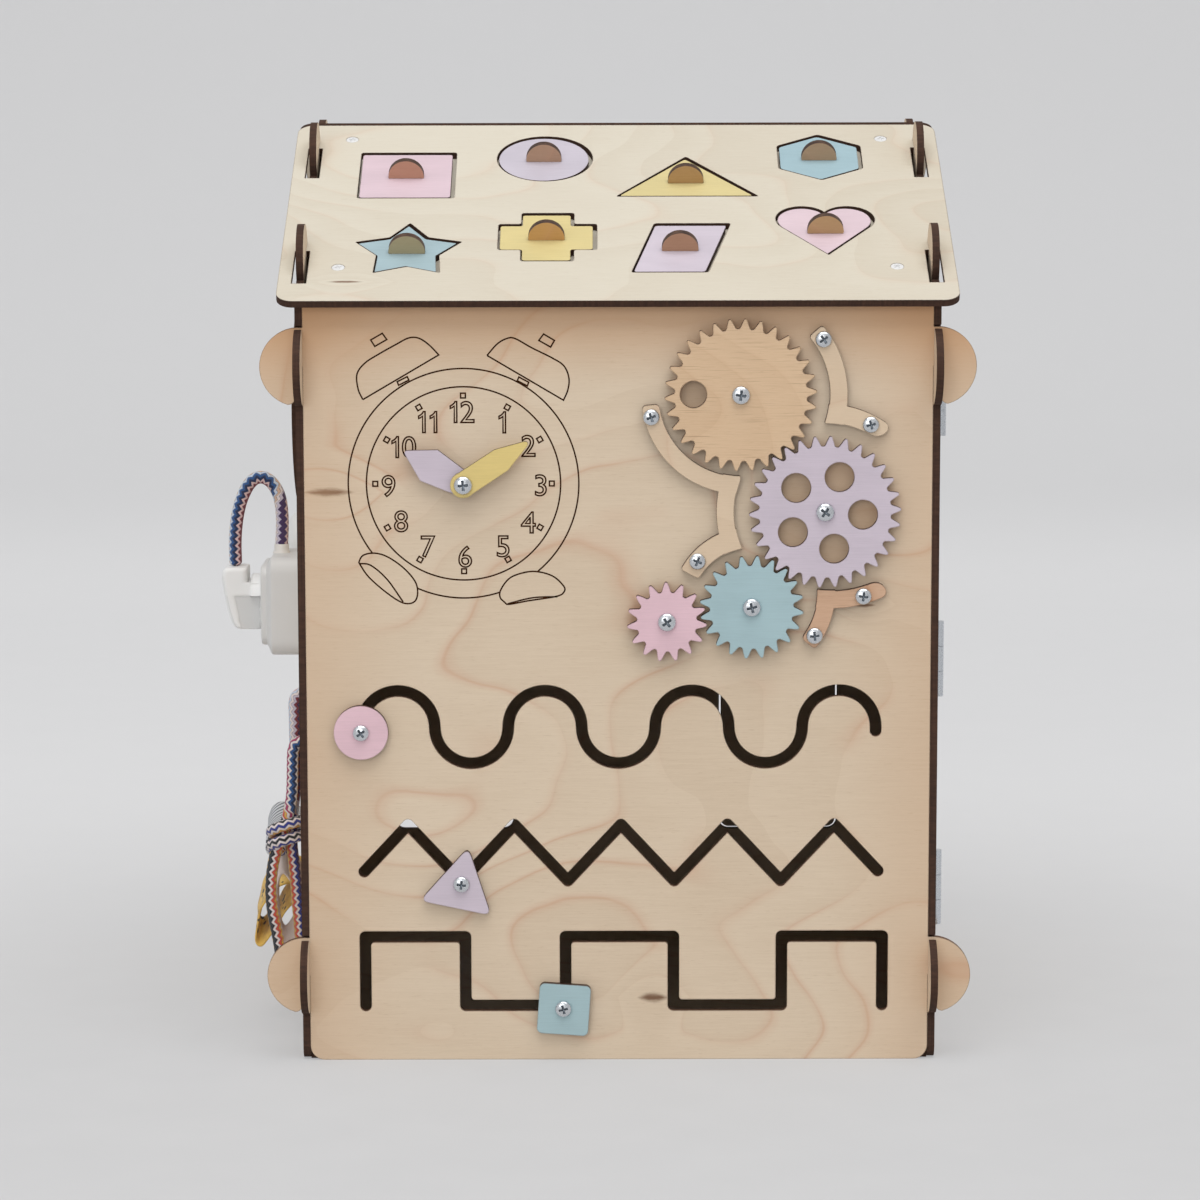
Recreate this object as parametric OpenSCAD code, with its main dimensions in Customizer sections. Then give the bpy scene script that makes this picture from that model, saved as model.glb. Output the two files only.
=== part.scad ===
// Wooden busy board in the shape of a small house: laser-cut plywood walls that hook
// together at the corners, a gable roof with lift-out shape tiles, a geared front with a
// toy clock and three maze slots, doors on the right and the back, and a socket, a spin
// wheel, laces and ribbon tags on the left.
// X runs to the right, Y to the back, Z up. The origin is the middle of the underside.

/* [House] */
// Width over the side walls
house_w = 350; // [340:1:380]
// Depth over the front and back walls
house_d = 350; // [346:1:380]
// Height of the front and back walls
wall_h = 422; // [418:1:440]
// Thickness of the wall plywood
ply = 4; // [3.6:0.1:4.4]
// Radius of the lower wall corners
foot_r = 8; // [2:1:14]
// Clearance between plywood faces that slide together
play = 0.1; // [0.05:0.05:0.2]

/* [Corner ears] */
// Radius of the half-round ears at the corners
ear_r = 21.4; // [18:0.2:24]
// Height of the lower ears' middle
ear_low_z = 47.7; // [40:0.1:60]
// Height of the upper ears' middle
ear_high_z = 384.7; // [370:0.1:388]

/* [Roof] */
// Slope of the roof in degrees
roof_slope = 26.6; // [26:0.1:30]
// How far the roof stands out past the side walls
roof_over = 9.5; // [8:0.5:14]
// How far the eaves stand out past the walls
eave_out = 9.2; // [8:0.2:14]
// How far the back panel laps over the front panel at the ridge
ridge_lap = 1.6; // [0.8:0.1:2.4]
// Radius of the roof panel corners
roof_corner_r = 9; // [4:1:14]
// Length of the slots for the roof hooks
hook_slot_l = 36; // [32:1:40]
// Width of the slots for the roof hooks
hook_slot_w = 8.2; // [6:0.1:9]
// Distance of the lower slots from the eave
hook_low_s = 19.3; // [16:0.1:24]
// Distance of the upper slots from the eave
hook_high_s = 140; // [120:1:146]
// Height of the roof hooks above the roof
hook_h = 18.4; // [14:0.2:22]
// Length by which a hook reaches over its slot's upper end
hook_over = 10; // [6:0.5:12]

/* [Shape tiles] */
// Overall size of a shape tile
tile_size = 53; // [48:0.5:54]
// Gap between a tile and its recess
tile_gap = 0.9; // [0.6:0.1:1.2]
// Shift of all the tiles along the slope
tile_shift = 0; // [-3:0.5:1.5]
// Width of a tile's finger knob
knob_w = 20; // [14:0.5:24]
// Height of a tile's finger knob above the tile
knob_h = 11; // [8:0.5:14]
// Thickness of the backing tray under the tiles
tray_t = 4; // [3:0.2:6]

/* [Gears] */
// Gear module, the pitch diameter divided by the teeth
gear_module = 2.6; // [2.4:0.05:2.7]
// Teeth of the wooden gear
wood_teeth = 30; // [30:1:30]
// Teeth of the lilac gear
lilac_teeth = 30; // [30:1:30]
// Teeth of the blue gear
blue_teeth = 20; // [20:1:20]
// Teeth of the pink gear
pink_teeth = 15; // [15:1:15]
// Extra distance between the centres of meshing gears
gear_slack = 0.5; // [0.4:0.1:0.9]
// Thickness of the gears
gear_t = 4; // [3:0.2:5]
// Gap between the wall and the gears, held by spacers
gear_off = 2; // [1.5:0.1:3]
// Radius of the finger hole in the wooden gear
finger_r = 7.3; // [6:0.1:9]
// Radius of the five holes in the lilac gear
window_r = 8.1; // [6:0.1:9]
// Width of the guide strips round the gears
guide_w = 9.6; // [9:0.2:10.6]
// Thickness of the guide strips
guide_t = 4; // [3:0.2:5]

/* [Clock] */
// Length of the hour hand from its pivot
hour_l = 36.3; // [30:0.1:44]
// Length of the minute hand from its pivot
minute_l = 42; // [36:0.1:50]
// Thickness of the clock hands
hand_t = 3; // [2.4:0.2:4]

/* [Maze slots] */
// Width of the maze slots
slot_w = 6.3; // [6:0.1:7]
// Radius of the wave slot's half rings
wave_r = 20.15; // [18:0.05:20.5]
// Half the pitch of the zigzag slot
zig_half = 29.3; // [26:0.1:30]
// Height of the zigzag slot
zig_h = 31.5; // [26:0.1:34]
// Height of the square-wave slot
step_h = 38.8; // [34:0.1:42]
// Thickness of the slider buttons
button_t = 4; // [3:0.2:5]
// Gap between a moving piece and the face that it slides on
slide_gap = 0.3; // [0.2:0.05:0.5]

/* [Doors] */
// Width of the door openings in the right wall
door_w = 93; // [80:1:110]
// Height of the door openings in the right wall
door_h = 101; // [90:1:108]
// Gap round a closed door leaf
door_gap = 1.2; // [0.8:0.1:1.6]
// Width of the two openings in the back wall
window_w = 75.4; // [60:0.2:90]
// Height of the door opening in the back wall
window_h = 110; // [90:1:130]
// Height of the open hand hole beside the back door
hand_hole_h = 36; // [30:1:60]
// Radius of the finger hole in a door
door_hole_r = 9; // [7:0.5:11]
// Height of a hinge
hinge_h = 42; // [36:1:50]
// Width of one hinge leaf from its pin
hinge_leaf_w = 17; // [14:0.5:20]
// Radius of a hinge barrel
barrel_r = 2.6; // [2.3:0.1:3]
// Radius of a hinge pin
pin_r = 1.2; // [1:0.1:1.4]
// Length of a turn button
turn_l = 28; // [26:0.5:32]

/* [Left side] */
// Side length of the square socket box
socket_s = 58; // [54:0.5:62]
// Depth of the socket box without its cover
socket_d = 27.6; // [25:0.2:32]
// Radius of the plug's round base
plug_r = 16.6; // [16:0.1:17.4]
// Length of the plug's pins
prong_l = 19; // [15:0.5:20]
// Diameter of the plug's cord
cord_d = 7.5; // [7:0.1:8]
// Diameter of the laces
lace_d = 6.5; // [5:0.1:7]
// Radius of the spin wheel on the left wall
wheel_r = 57; // [45:1:60]
// Thickness of the ribbon tags
ribbon_t = 1.2; // [0.8:0.1:1.6]
// Width of the ribbon tags
ribbon_w = 24; // [18:1:30]

/* [Fasteners] */
// Shank radius of the pivot bolts
bolt_r = 2.5; // [2:0.1:2.7]
// Head radius of the pivot bolts
bolt_head_r = 5; // [4.4:0.1:5.4]
// Shank radius of the slider and guide screws
screw_r = 2; // [1.6:0.1:2.2]
// Head radius of the slider and guide screws
screw_head_r = 4.5; // [3.8:0.1:4.8]
// Radial clearance of a running fit
run_fit = 0.05; // [0.02:0.01:0.08]

/* [Hidden] */
$fn = 64;

birch = [0.86, 0.76, 0.62];
pale_birch = [0.90, 0.83, 0.72];
orange_birch = [0.88, 0.70, 0.55];
pink = [0.88, 0.70, 0.75];
lilac = [0.78, 0.74, 0.78];
blue = [0.64, 0.76, 0.79];
yellow = [0.87, 0.77, 0.47];
zinc = [0.80, 0.82, 0.83];
white = [0.93, 0.93, 0.92];

half_w = house_w / 2;
half_d = house_d / 2;
in_w = half_w - ply;
in_d = half_d - ply;
wall_mid = half_w - ply / 2;

// Roof panels: s runs up the slope from the eave, n stands off the underside.
roof_w = house_w + 2 * roof_over;
eave_y = half_d + eave_out;
eave_z = wall_h - eave_out * tan(roof_slope);
roof_full_l = eave_y / cos(roof_slope);
front_roof_l = roof_full_l - ridge_lap * cos(2 * roof_slope) - 0.4;
back_roof_l = roof_full_l + ridge_lap;
ridge_z = wall_h + half_d * tan(roof_slope);
back_hook_shift = 2;
tray_margin = 5;
tray_screw_low_s = 37;
tray_screw_high_s = roof_full_l - 19;
tray_low_s = 24;
tray_high_s = roof_full_l - 10;
tray_half_w = in_w - tray_margin;
tray_screw_x = tray_half_w - 13.5;
hook_end_gap = 0.4;
hook_l = hook_slot_l - hook_end_gap;

// Shape tiles as [middle along the roof, middle up the slope]. Each lies at the lower edge
// of its recess. Its knob stands across the slope, a little below its middle.
tile_at = [
    [-118.9, 142.8], [-41, 162.6], [39.6, 136.4], [116.3, 163.9],
    [-115.1, 55.3], [-38.6, 70.3], [35, 57.9], [115.8, 77.4]
];
tile_slip = 0.5;
knob_drop = 0.9;

// Gear train: each centre is set off from the one before.
wood_c = [66.4, wall_h - 52.5];
wood_phase = 2.6;
lilac_dir = -54.2;
blue_dir = 232.7;
pink_dir = 189.8;
addendum = 0.85 * gear_module;
dedendum = 1.2 * gear_module;
pink_slack = 0.9;
function centre_gap(a, b) = gear_module * (a + b) / 2 + gear_slack;
function from(c, r, a) = [c[0] + r * cos(a), c[1] + r * sin(a)];
function next_phase(na, pa, nb, dir) = dir + 180 + (180 - na * (pa - dir)) / nb;
lilac_c = from(wood_c, centre_gap(wood_teeth, lilac_teeth), lilac_dir);
blue_c = from(lilac_c, centre_gap(lilac_teeth, blue_teeth), blue_dir);
pink_c = from(blue_c, centre_gap(blue_teeth, pink_teeth) + pink_slack, pink_dir);
lilac_phase = next_phase(wood_teeth, wood_phase, lilac_teeth, lilac_dir) - 1;
blue_phase = next_phase(lilac_teeth, lilac_phase, blue_teeth, blue_dir);
pink_phase = next_phase(blue_teeth, blue_phase, pink_teeth, pink_dir);
function tip_r(teeth) = gear_module * teeth / 2 + addendum;

// Guide strips curve round the gears, their inner edges clear of the gear tips. The low
// strip is flatter than the gears: its two bands have middles of their own.
big_guide_r = tip_r(wood_teeth) + 7.2;
low_guide_r = tip_r(wood_teeth) + 3.2;
side_guide_r = tip_r(lilac_teeth) + 8.2;
small_guide_r = tip_r(blue_teeth) + 4.4;
flat_c = lilac_c + [4, 14];
flat_r = tip_r(lilac_teeth) + 16.3;
tail_c = blue_c + [-5, 8];
tail_r = tip_r(blue_teeth) + 12.9;

// Layers in front of the front wall, as distances from its face.
gear_back = gear_off + 0.2;
gear_front = gear_back + gear_t;
hour_back = gear_off + 0.2;
minute_back = hour_back + hand_t + slide_gap;
clock_c = [-84.1, wall_h - 100.9];
hour_angle = 150.4;
minute_angle = 33.4;
nut_t = 3.6;
nut_r = 4.6;

// Maze slots.
wave_z = 186.9;
wave_turns = 7;
wave_x0 = -(wave_turns - 1) * wave_r;
wave_end = 2.4;
zig_x0 = -145.2;
zig_low_z = 100.9;
zig_legs = 10;
zig_end = 0.17;
step_low_z = 30.7;
step_x = [-140, -84.7, -29.4, 30.2, 89.9, 145.6];
disc_r = 14.9;
triangle_r = 23.1;
square_half = 14.15;
washer_r = 7;
washer_t = 1.5;

// Doors. A hinge's pin stands clear of the wall, in line with the door's edge gap.
pin_off = barrel_r + 0.2;
leaf_t = 1;
door_y = -half_d + 27;
door_z = [365.4, 220.4, 91.5];
door_round = 3;
window_x = half_w - 71.4;
window_low_z = 62.9;
window_round = 6;
back_hole_drop = 24;
turn_w = 9;
turn_t = 3;
turn_off = 8.8;
button_gap = 0.4;

// Left side.
socket_z = 233.4;
socket_wall = 2;
socket_r = 8.5;
rim_s = socket_s - 11;
rim_r = 6;
rim_t = 3.6;
chamfer_t = 2.7;
recess_r = 18.5;
recess_deep = 10;
prong_r = 2.4;
prong_y = 9.5;
plug_base_t = recess_deep + 6.5;
lamp_y = 61;
lamp_z = 257.7;
lamp_r = 26;
lamp_base_r = 29;
lamp_base_t = 5;
wheel_y = -90;
wheel_z = 357;
lace_y = [-128, -136];
lace_hole_z = [199, 173];
knot_z = 119;
knot_off = 11.6;
ribbon_y = [-105, -105, -75];
ribbon_z = [120.5, 77, 86];
ribbon_out = [24.5, 29.5, 19];
ribbon_drop = [9, 24, 6];
ribbon_fat = [12, 11, 26];

// Point of a cord at a height z and a distance off the left wall's face.
function off_left(p, y) = [-half_w - p[0], y, p[1]];

// The plug's cord, from the socket box's top to the plug's handle.
socket_top = socket_z + socket_s / 2;
cord_route = [
    for (p = [
        [23, 0], [23, 5], [22.6, 11], [22.4, 17.5], [22.6, 24.5], [23.4, 31], [25.4, 37],
        [28.8, 41.8], [33.2, 44.4], [37.8, 43.9], [41.6, 40.6], [44.6, 35.4], [47, 29.4],
        [48.6, 22.8], [49.6, 16.2], [50.2, 9.6], [50.4, 3], [50.3, -2.7], [50.3, -7.9]
    ]) off_left([p[0], socket_top + p[1]], 0)
];
// The upper lace: out of its hole, down the wall, through the knot, to its tip.
upper_lace_route = [
    for (p = [
        [-6, 199], [0.6, 199], [4.8, 197.2], [6.4, 193.2], [6.4, 187], [6.3, 178], [6.2, 168],
        [6.2, 158], [6.4, 148], [7.2, 138], [8.4, 128], [9, 119], [8.6, 110], [7.6, 100],
        [6.8, 90], [6.2, 80], [5.4, 70], [4.8, 60], [4.6, 50]
    ]) off_left(p, lace_y[0])
];
// The lower lace: out of its hole, through the knot, and out into a loose tail.
lower_lace_route = [
    for (p = [
        [-6, 173], [0.6, 173], [5, 171.2], [6.8, 167], [7.2, 160], [7.4, 151], [8, 141],
        [10.2, 130], [13.8, 119], [17, 110], [19.2, 100], [20.2, 89], [19.8, 79], [18.2, 69],
        [16.4, 59], [15, 49], [14.4, 42]
    ]) off_left(p, lace_y[1])
];

// ---------------------------------------------------------------- plane shapes

// Rectangle between two corners with its corners rounded by r.
module rounded_rect(x0, y0, x1, y1, r) {
    translate([x0 + r, y0]) square([x1 - x0 - 2 * r, y1 - y0]);
    translate([x0, y0 + r]) square([x1 - x0, y1 - y0 - 2 * r]);
    for (x = [x0 + r, x1 - r])
        for (y = [y0 + r, y1 - r])
            translate([x, y]) circle(r);
}

// Straight strip of width w from p to q with round ends.
module strip(p, q, w) {
    run = q - p;
    translate(p) rotate(atan2(run[1], run[0])) translate([0, -w / 2]) square([norm(run), w]);
    for (c = [p, q])
        translate(c) circle(w / 2);
}

// Outline of a track corner at p on the right of a walk that comes in along a and leaves
// along b: an arc round the outer side, or a fillet of radius q on the inner side.
function corner_points(p, a, b, r, q) =
    let (turn = a * b < -0.999 ? 180 : atan2(a[0] * b[1] - a[1] * b[0], a * b),
         na = [a[1], -a[0]], nb = [b[1], -b[0]])
    turn > 8 ? arc(p, r, atan2(na[1], na[0]), atan2(na[1], na[0]) + turn, ceil(turn / 15))
    : q > 0 ? arc(p + (na + nb) * (r + q) / (1 + na * nb), -q,
                  atan2(na[1], na[0]), atan2(na[1], na[0]) + turn, 5)
    : [p + (na + nb) * r / (1 + na * nb)];

// Track of width w along a line of points, with round ends and inner fillets of radius q.
// Its outline walks out along the line and back again.
module track(points, w, q = 0) {
    n = len(points);
    walk = concat(points, [for (i = [n - 2 : -1 : 1]) points[i]]);
    m = len(walk);
    polygon([
        for (i = [0 : m - 1])
            for (q = corner_points(walk[i], unit(walk[i] - walk[(i + m - 1) % m]),
                                   unit(walk[(i + 1) % m] - walk[i]), w / 2, q))
                q
    ]);
}

function unit(v) = v / norm(v);
function arc(c, r, a0, a1, n) =
    [for (i = [0 : n]) from(c, r, a0 + (a1 - a0) * i / n)];

// Corner of a curved band, rounded by q: out is 1 at the outer edge, turn is 1 at the far end.
function band_corner(c, r, a, q, out, turn, flip) =
    [for (i = [0 : 4])
        let (t = flip ? 90 - i * 22.5 : i * 22.5)
        from(c, r - out * q * (1 - cos(t)), a - turn * q * (1 - sin(t)) * 180 / (PI * r))];

// Curved band round c between radii r0 and r1 and angles a0 and a1. Its two ends are
// rounded by q0 and q1, each given as [outer, inner] radius.
module band(c, r0, r1, a0, a1, q0, q1) {
    polygon(concat(
        band_corner(c, r1, a0, q0[0], 1, -1, true),
        arc(c, r1, a0 + 8, a1 - 8, 20),
        band_corner(c, r1, a1, q1[0], 1, 1, false),
        band_corner(c, r0, a1, q1[1], -1, 1, true),
        arc(c, r0, a1 - 8, a0 + 8, 20),
        band_corner(c, r0, a0, q0[1], -1, -1, false)
    ));
}

// ---------------------------------------------------------------- placing

// Plane shape in X and Z, pushed from a distance d0 to d1 in front of the front wall's face.
module on_front(d0, d1) {
    translate([0, -half_d - d0, 0]) rotate([90, 0, 0]) linear_extrude(d1 - d0) children();
}

// Plane shape in Y and Z, between two values of X.
module across(x0, x1) {
    translate([x0, 0, 0]) rotate([90, 0, 90]) linear_extrude(x1 - x0) children();
}

// Frame of a roof panel: X stays, Y runs up the slope, Z stands off the underside.
module on_roof() {
    translate([0, -eave_y, eave_z]) rotate([roof_slope, 0, 0]) children();
}

// Round bar along -Y, from distance d0 to d1 in front of the front wall's face.
module front_bar(c, r, d0, d1) {
    translate([c[0], -half_d - d0, c[1]]) rotate([90, 0, 0]) cylinder(r = r, h = d1 - d0);
}

// Domed pan head of radius r and height h, its flat underside at z = 0.
module pan_head(r, h) {
    rotate_extrude()
        polygon(concat(
            [[0, 0], [r - 0.3, 0], [r, 0.3]],
            [for (i = [0 : 6]) [r * cos(i * 15), h * 0.35 + h * 0.65 * sin(i * 15)]]
        ));
}

// Bolt whose head's underside is at z = 0 and whose shank runs down by l.
module bolt(r, l, head_r, head_h) {
    pan_head(head_r, head_h);
    translate([0, 0, -l]) cylinder(r = r, h = l + 0.01);
}

module front_bolt(c, under, r, head_r, head_h, l) {
    translate([c[0], -half_d - under, c[1]]) rotate([90, 0, 0]) bolt(r, l, head_r, head_h);
}

module nut(r_hole) {
    difference() {
        cylinder(r = nut_r, h = nut_t, $fn = 6);
        translate([0, 0, -1]) cylinder(r = r_hole + run_fit, h = nut_t + 2);
    }
}

// ---------------------------------------------------------------- walls

// Half-round ear about the middle of the wall that it hooks over, with a slot cut from
// below. The outer corner beside the slot's mouth is rounded.
mouth_r = 4;
mouth_cut = 0.2;
module ear_2d() {
    edge = ply / 2 + play;
    x = edge + mouth_r;
    c = [x, -sqrt(pow(ear_r - mouth_r + mouth_cut, 2) - x * x)];
    difference() {
        circle(ear_r);
        translate([-edge, -ear_r - 1]) square([2 * edge, ear_r + 1]);
        polygon(concat(
            [[0, c[1]]],
            arc(c, mouth_r, 180, 360 + atan2(c[1], c[0]), 8),
            [1.3 * c, [0, 1.5 * c[1]]]
        ));
    }
}

// Slots of the wall behind the ears, for the ears of the walls that cross it.
module ear_slots_2d(x, up) {
    for (z = [ear_low_z, ear_high_z])
        for (side = [-1, 1])
            translate([side * x - ply / 2 - play, up ? z : z - ear_r - 1])
                square([ply + 2 * play, ear_r + 1]);
}

module ears_2d(x, up) {
    for (z = [ear_low_z, ear_high_z])
        for (side = [0, 1])
            mirror([side, 0]) translate([x, z]) mirror([0, up ? 1 : 0]) ear_2d();
}

// Front or back wall in X and Z.
module lapped_plate_2d() {
    difference() {
        union() {
            rounded_rect(play - in_w, 0, in_w - play, wall_h, foot_r);
            translate([play - in_w, wall_h / 2]) square([2 * (in_w - play), wall_h / 2 - play]);
            ears_2d(wall_mid, false);
        }
        ear_slots_2d(wall_mid, false);
    }
}

wave_end_x = wave_turns * wave_r;
wave_points = concat(
    [[-wave_end_x, wave_z - wave_end]],
    [for (i = [0 : wave_turns - 1])
        for (k = [0 : 24])
            if (k > 0 || i == 0)
                let (a = 180 - 7.5 * k)
                [wave_x0 + 2 * wave_r * i + wave_r * cos(a),
                 wave_z + (i % 2 == 0 ? 1 : -1) * wave_r * sin(a)]],
    [[wave_end_x, wave_z - wave_end]]
);

function zig_point(i) = [zig_x0 + zig_half * i, zig_low_z + (i % 2 == 1 ? zig_h : 0)];
zig_points = concat(
    [zig_point(0) + zig_end * (zig_point(1) - zig_point(0))],
    [for (i = [1 : zig_legs - 1]) zig_point(i)],
    [zig_point(zig_legs) + zig_end * (zig_point(zig_legs - 1) - zig_point(zig_legs))]
);

step_points = [
    for (i = [0 : len(step_x) - 1])
        for (top = i % 2 == 0 ? [0, 1] : [1, 0])
            [step_x[i], step_low_z + top * step_h]
];

pivots = [wood_c, lilac_c, blue_c, pink_c, clock_c];
guide_holes = [
    from(wood_c, big_guide_r + 5.4, 33.9),
    from(lilac_c, big_guide_r + 5, 62.6),
    from(wood_c, low_guide_r + 5.6, 193.9),
    from(blue_c, small_guide_r + 6.2, 139.7),
    from(lilac_c, low_guide_r + 6.6, -65.5),
    from(blue_c, small_guide_r + 5.3, -24.9)
];

module front_wall() {
    color(birch)
    difference() {
        on_front(-ply, 0)
            difference() {
                lapped_plate_2d();
                track(wave_points, slot_w);
                track(zig_points, slot_w, 0.6);
                track(step_points, slot_w, 1.8);
            }
        for (c = pivots)
            front_bar(c, bolt_r + run_fit, -ply - 1, 1);
        for (c = guide_holes)
            front_bar(c, screw_r + run_fit, -ply - 1, 1);
    }
}

module window_2d(x, h) {
    rounded_rect(x - window_w / 2, window_low_z, x + window_w / 2, window_low_z + h,
                 window_round);
}

back_turn_c = [window_x - window_w / 2 - turn_off, window_low_z + window_h / 2];
module back_wall() {
    color(birch)
    difference() {
        translate([0, house_d - ply, 0]) on_front(-ply, 0)
            difference() {
                lapped_plate_2d();
                window_2d(window_x, window_h);
                window_2d(-window_x, hand_hole_h);
            }
        translate([back_turn_c[0], 0, back_turn_c[1]]) rotate([-90, 0, 0])
            cylinder(r = screw_r + run_fit, h = house_d);
    }
}

// Roof hook in the side wall's plane and the roof panel's own frame. Its neck stands in the
// slot that starts at s, and its head reaches over the slot's upper end.
module hook_2d(s) {
    neck_low = s + hook_over + 2 * hook_end_gap;
    neck_high = s + hook_slot_l - hook_end_gap;
    mid = neck_low + hook_l / 2;
    translate([neck_low, -ply - 2]) square([neck_high - neck_low, 2 * ply + 2 + play]);
    polygon([for (i = [0 : 24])
        [mid + hook_l / 2 * cos(i * 7.5), ply + play + hook_h * sin(i * 7.5)]]);
}

// Gable side wall in Y and Z: its ears take the front and back walls from above.
module gable_2d() {
    difference() {
        union() {
            rounded_rect(-half_d, 0, half_d, wall_h - foot_r, foot_r);
            polygon([
                [-half_d, wall_h / 2], [half_d, wall_h / 2], [half_d, wall_h - play],
                [0, ridge_z - play], [-half_d, wall_h - play]
            ]);
            ears_2d(half_d - ply / 2, true);
            for (side = [0, 1])
                mirror([side, 0])
                    translate([-eave_y, eave_z]) rotate(roof_slope) {
                        hook_2d(hook_low_s);
                        hook_2d(hook_high_s + side * back_hook_shift);
                    }
        }
        ear_slots_2d(half_d - ply / 2, true);
    }
}

tab_w = 60;
tab_y = 90;
module floor_slots() {
    for (y = [-tab_y, tab_y])
        translate([y - tab_w / 2 - play, -1]) square([tab_w + 2 * play, ply + play + 1]);
}

module side_wall_2d() {
    difference() {
        gable_2d();
        floor_slots();
    }
}

turn_y = door_y + door_w + turn_off;
module right_wall() {
    color(birch)
    difference() {
        across(half_w - ply, half_w)
            difference() {
                side_wall_2d();
                for (z = door_z)
                    rounded_rect(door_y, z - door_h / 2, door_y + door_w, z + door_h / 2,
                                 door_round);
            }
        for (z = door_z)
            translate([0, turn_y, z]) rotate([0, 90, 0])
                cylinder(r = screw_r + run_fit, h = house_w);
    }
}

module left_wall() {
    color(birch)
    difference() {
        across(-half_w, -half_w + ply)
            difference() {
                side_wall_2d();
                for (i = [0 : 2])
                    for (end = [-1, 1])
                        translate([ribbon_y[i] - ribbon_w / 2 - 0.3, ribbon_z[i] + end * 2 - 1])
                            square([ribbon_w + 0.6, 2]);
            }
        translate([0, wheel_y, wheel_z]) rotate([0, -90, 0])
            cylinder(r = bolt_r + run_fit, h = house_w);
        for (i = [0, 1])
            translate([0, lace_y[i], lace_hole_z[i]]) rotate([0, -90, 0])
                cylinder(r = lace_d / 2 + 0.3, h = house_w);
    }
}

module floor_panel() {
    color(birch)
    linear_extrude(ply) {
        square([2 * (in_w - play), 2 * (in_d - play)], center = true);
        for (y = [-tab_y, tab_y])
            translate([-half_w, y - tab_w / 2]) square([house_w, tab_w]);
    }
}

// ---------------------------------------------------------------- roof and tiles

function ring(n, r0, r1, a0) = [for (i = [0 : n - 1])
    let (r = i % 2 == 0 ? r0 : r1, a = a0 + 360 * i / n) [r * cos(a), r * sin(a)]];

// Outline, counterclockwise, with each of its sides moved outwards by g.
function grown(p, g) = [for (i = [0 : len(p) - 1])
    let (a = unit(p[i] - p[(i + len(p) - 1) % len(p)]), b = unit(p[(i + 1) % len(p)] - p[i]),
         na = [a[1], -a[0]], nb = [b[1], -b[0]])
    p[i] + (na + nb) * g / (1 + na * nb)];

// Outline with each corner cut back by q and curved.
function softened(p, q) = [
    for (i = [0 : len(p) - 1])
        let (a = p[i] + q * unit(p[(i + len(p) - 1) % len(p)] - p[i]),
             b = p[i] + q * unit(p[(i + 1) % len(p)] - p[i]))
        for (u = [0 : 0.25 : 1])
            (1 - u) * (1 - u) * a + 2 * u * (1 - u) * p[i] + u * u * b
];

tile_k = tile_size / 2;
arm = 0.52 * tile_k;
function tile_outline(i) =
    i == 0 ? [[-tile_k, -tile_k], [tile_k, -tile_k], [tile_k, tile_k], [-tile_k, tile_k]]
    : i == 2 ? [[-1.45, -0.7], [1.45, -0.7], [0, 1.02]] * tile_k
    : i == 3 ? ring(6, 1.01 * tile_k, 1.01 * tile_k, 90)
    : i == 4 ? ring(10, 1.11 * tile_k, 0.65 * tile_k, 90)
    : i == 5 ? [
        [-arm, -tile_k], [arm, -tile_k], [arm, -arm], [tile_k, -arm], [tile_k, arm],
        [arm, arm], [arm, tile_k], [-arm, tile_k], [-arm, arm], [-tile_k, arm],
        [-tile_k, -arm], [-arm, -arm]
    ]
    : [[-1.0, -1.01], [0.52, -1.01], [1.02, 1.01], [-0.52, 1.01]] * tile_k;

// Heart: two lobes and the two straight sides that touch them and meet at the tip.
module heart_2d(g) {
    lobe = 0.535 * tile_k + g;
    mid = [0.475 * tile_k, 0.475 * tile_k];
    tip_z = -1.0 * tile_k - 1.6 * g;
    d = norm(mid - [0, tip_z]);
    aim = atan2(mid[0], mid[1] - tip_z) + asin(lobe / d);
    side = sqrt(d * d - lobe * lobe);
    touch = [side * sin(aim), tip_z + side * cos(aim)];
    for (x = [-1, 1])
        translate([x * mid[0], mid[1]]) circle(lobe);
    polygon([[0, tip_z], touch, [touch[0] * 0.5, mid[1] + 0.3 * lobe],
             [-touch[0] * 0.5, mid[1] + 0.3 * lobe], [-touch[0], touch[1]]]);
}

// Outline of tile i about its middle, grown outwards by g.
module tile_2d(i, g) {
    if (i == 1)
        circle(tile_k + g);
    else if (i == 7)
        heart_2d(g);
    else
        polygon(softened(grown(tile_outline(i), g), i == 4 ? 1 : 1.8));
}

function tile_mid(i) = tile_at[i] + [0, tile_shift];

module tile_holes_2d() {
    for (i = [0 : 7])
        translate(tile_mid(i) + [0, tile_slip]) tile_2d(i, tile_gap);
}

// Tile with its glued knob, a rounded cap that stands across the slope.
module tile(i) {
    on_roof()
        translate([tile_mid(i)[0], tile_mid(i)[1], 0]) {
            translate([0, 0, play]) linear_extrude(ply - play) tile_2d(i, 0);
            translate([0, ply / 2 - knob_drop, ply]) rotate([90, 0, 0])
                linear_extrude(ply)
                    intersection() {
                        circle_knob();
                        translate([-knob_w, 0]) square([2 * knob_w, knob_h]);
                    }
        }
}

// Disc whose cap above z = 0 is knob_w wide and knob_h high.
module circle_knob() {
    r = (knob_w * knob_w / 4 + knob_h * knob_h) / (2 * knob_h);
    translate([0, knob_h - r]) circle(r);
}

module roof_slots_2d(high_s) {
    for (x = [-wall_mid, wall_mid])
        for (s = [hook_low_s, high_s])
            translate([x - hook_slot_w / 2, s]) square([hook_slot_w, hook_slot_l]);
}

tray_screw_spots = [
    for (x = [-tray_screw_x, tray_screw_x])
        for (s = [tray_screw_low_s, tray_screw_high_s]) [x, s]
];
tray_head_r = 3.6;
tray_head_h = 2.2;
tray_shank_r = 1.5;

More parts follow.
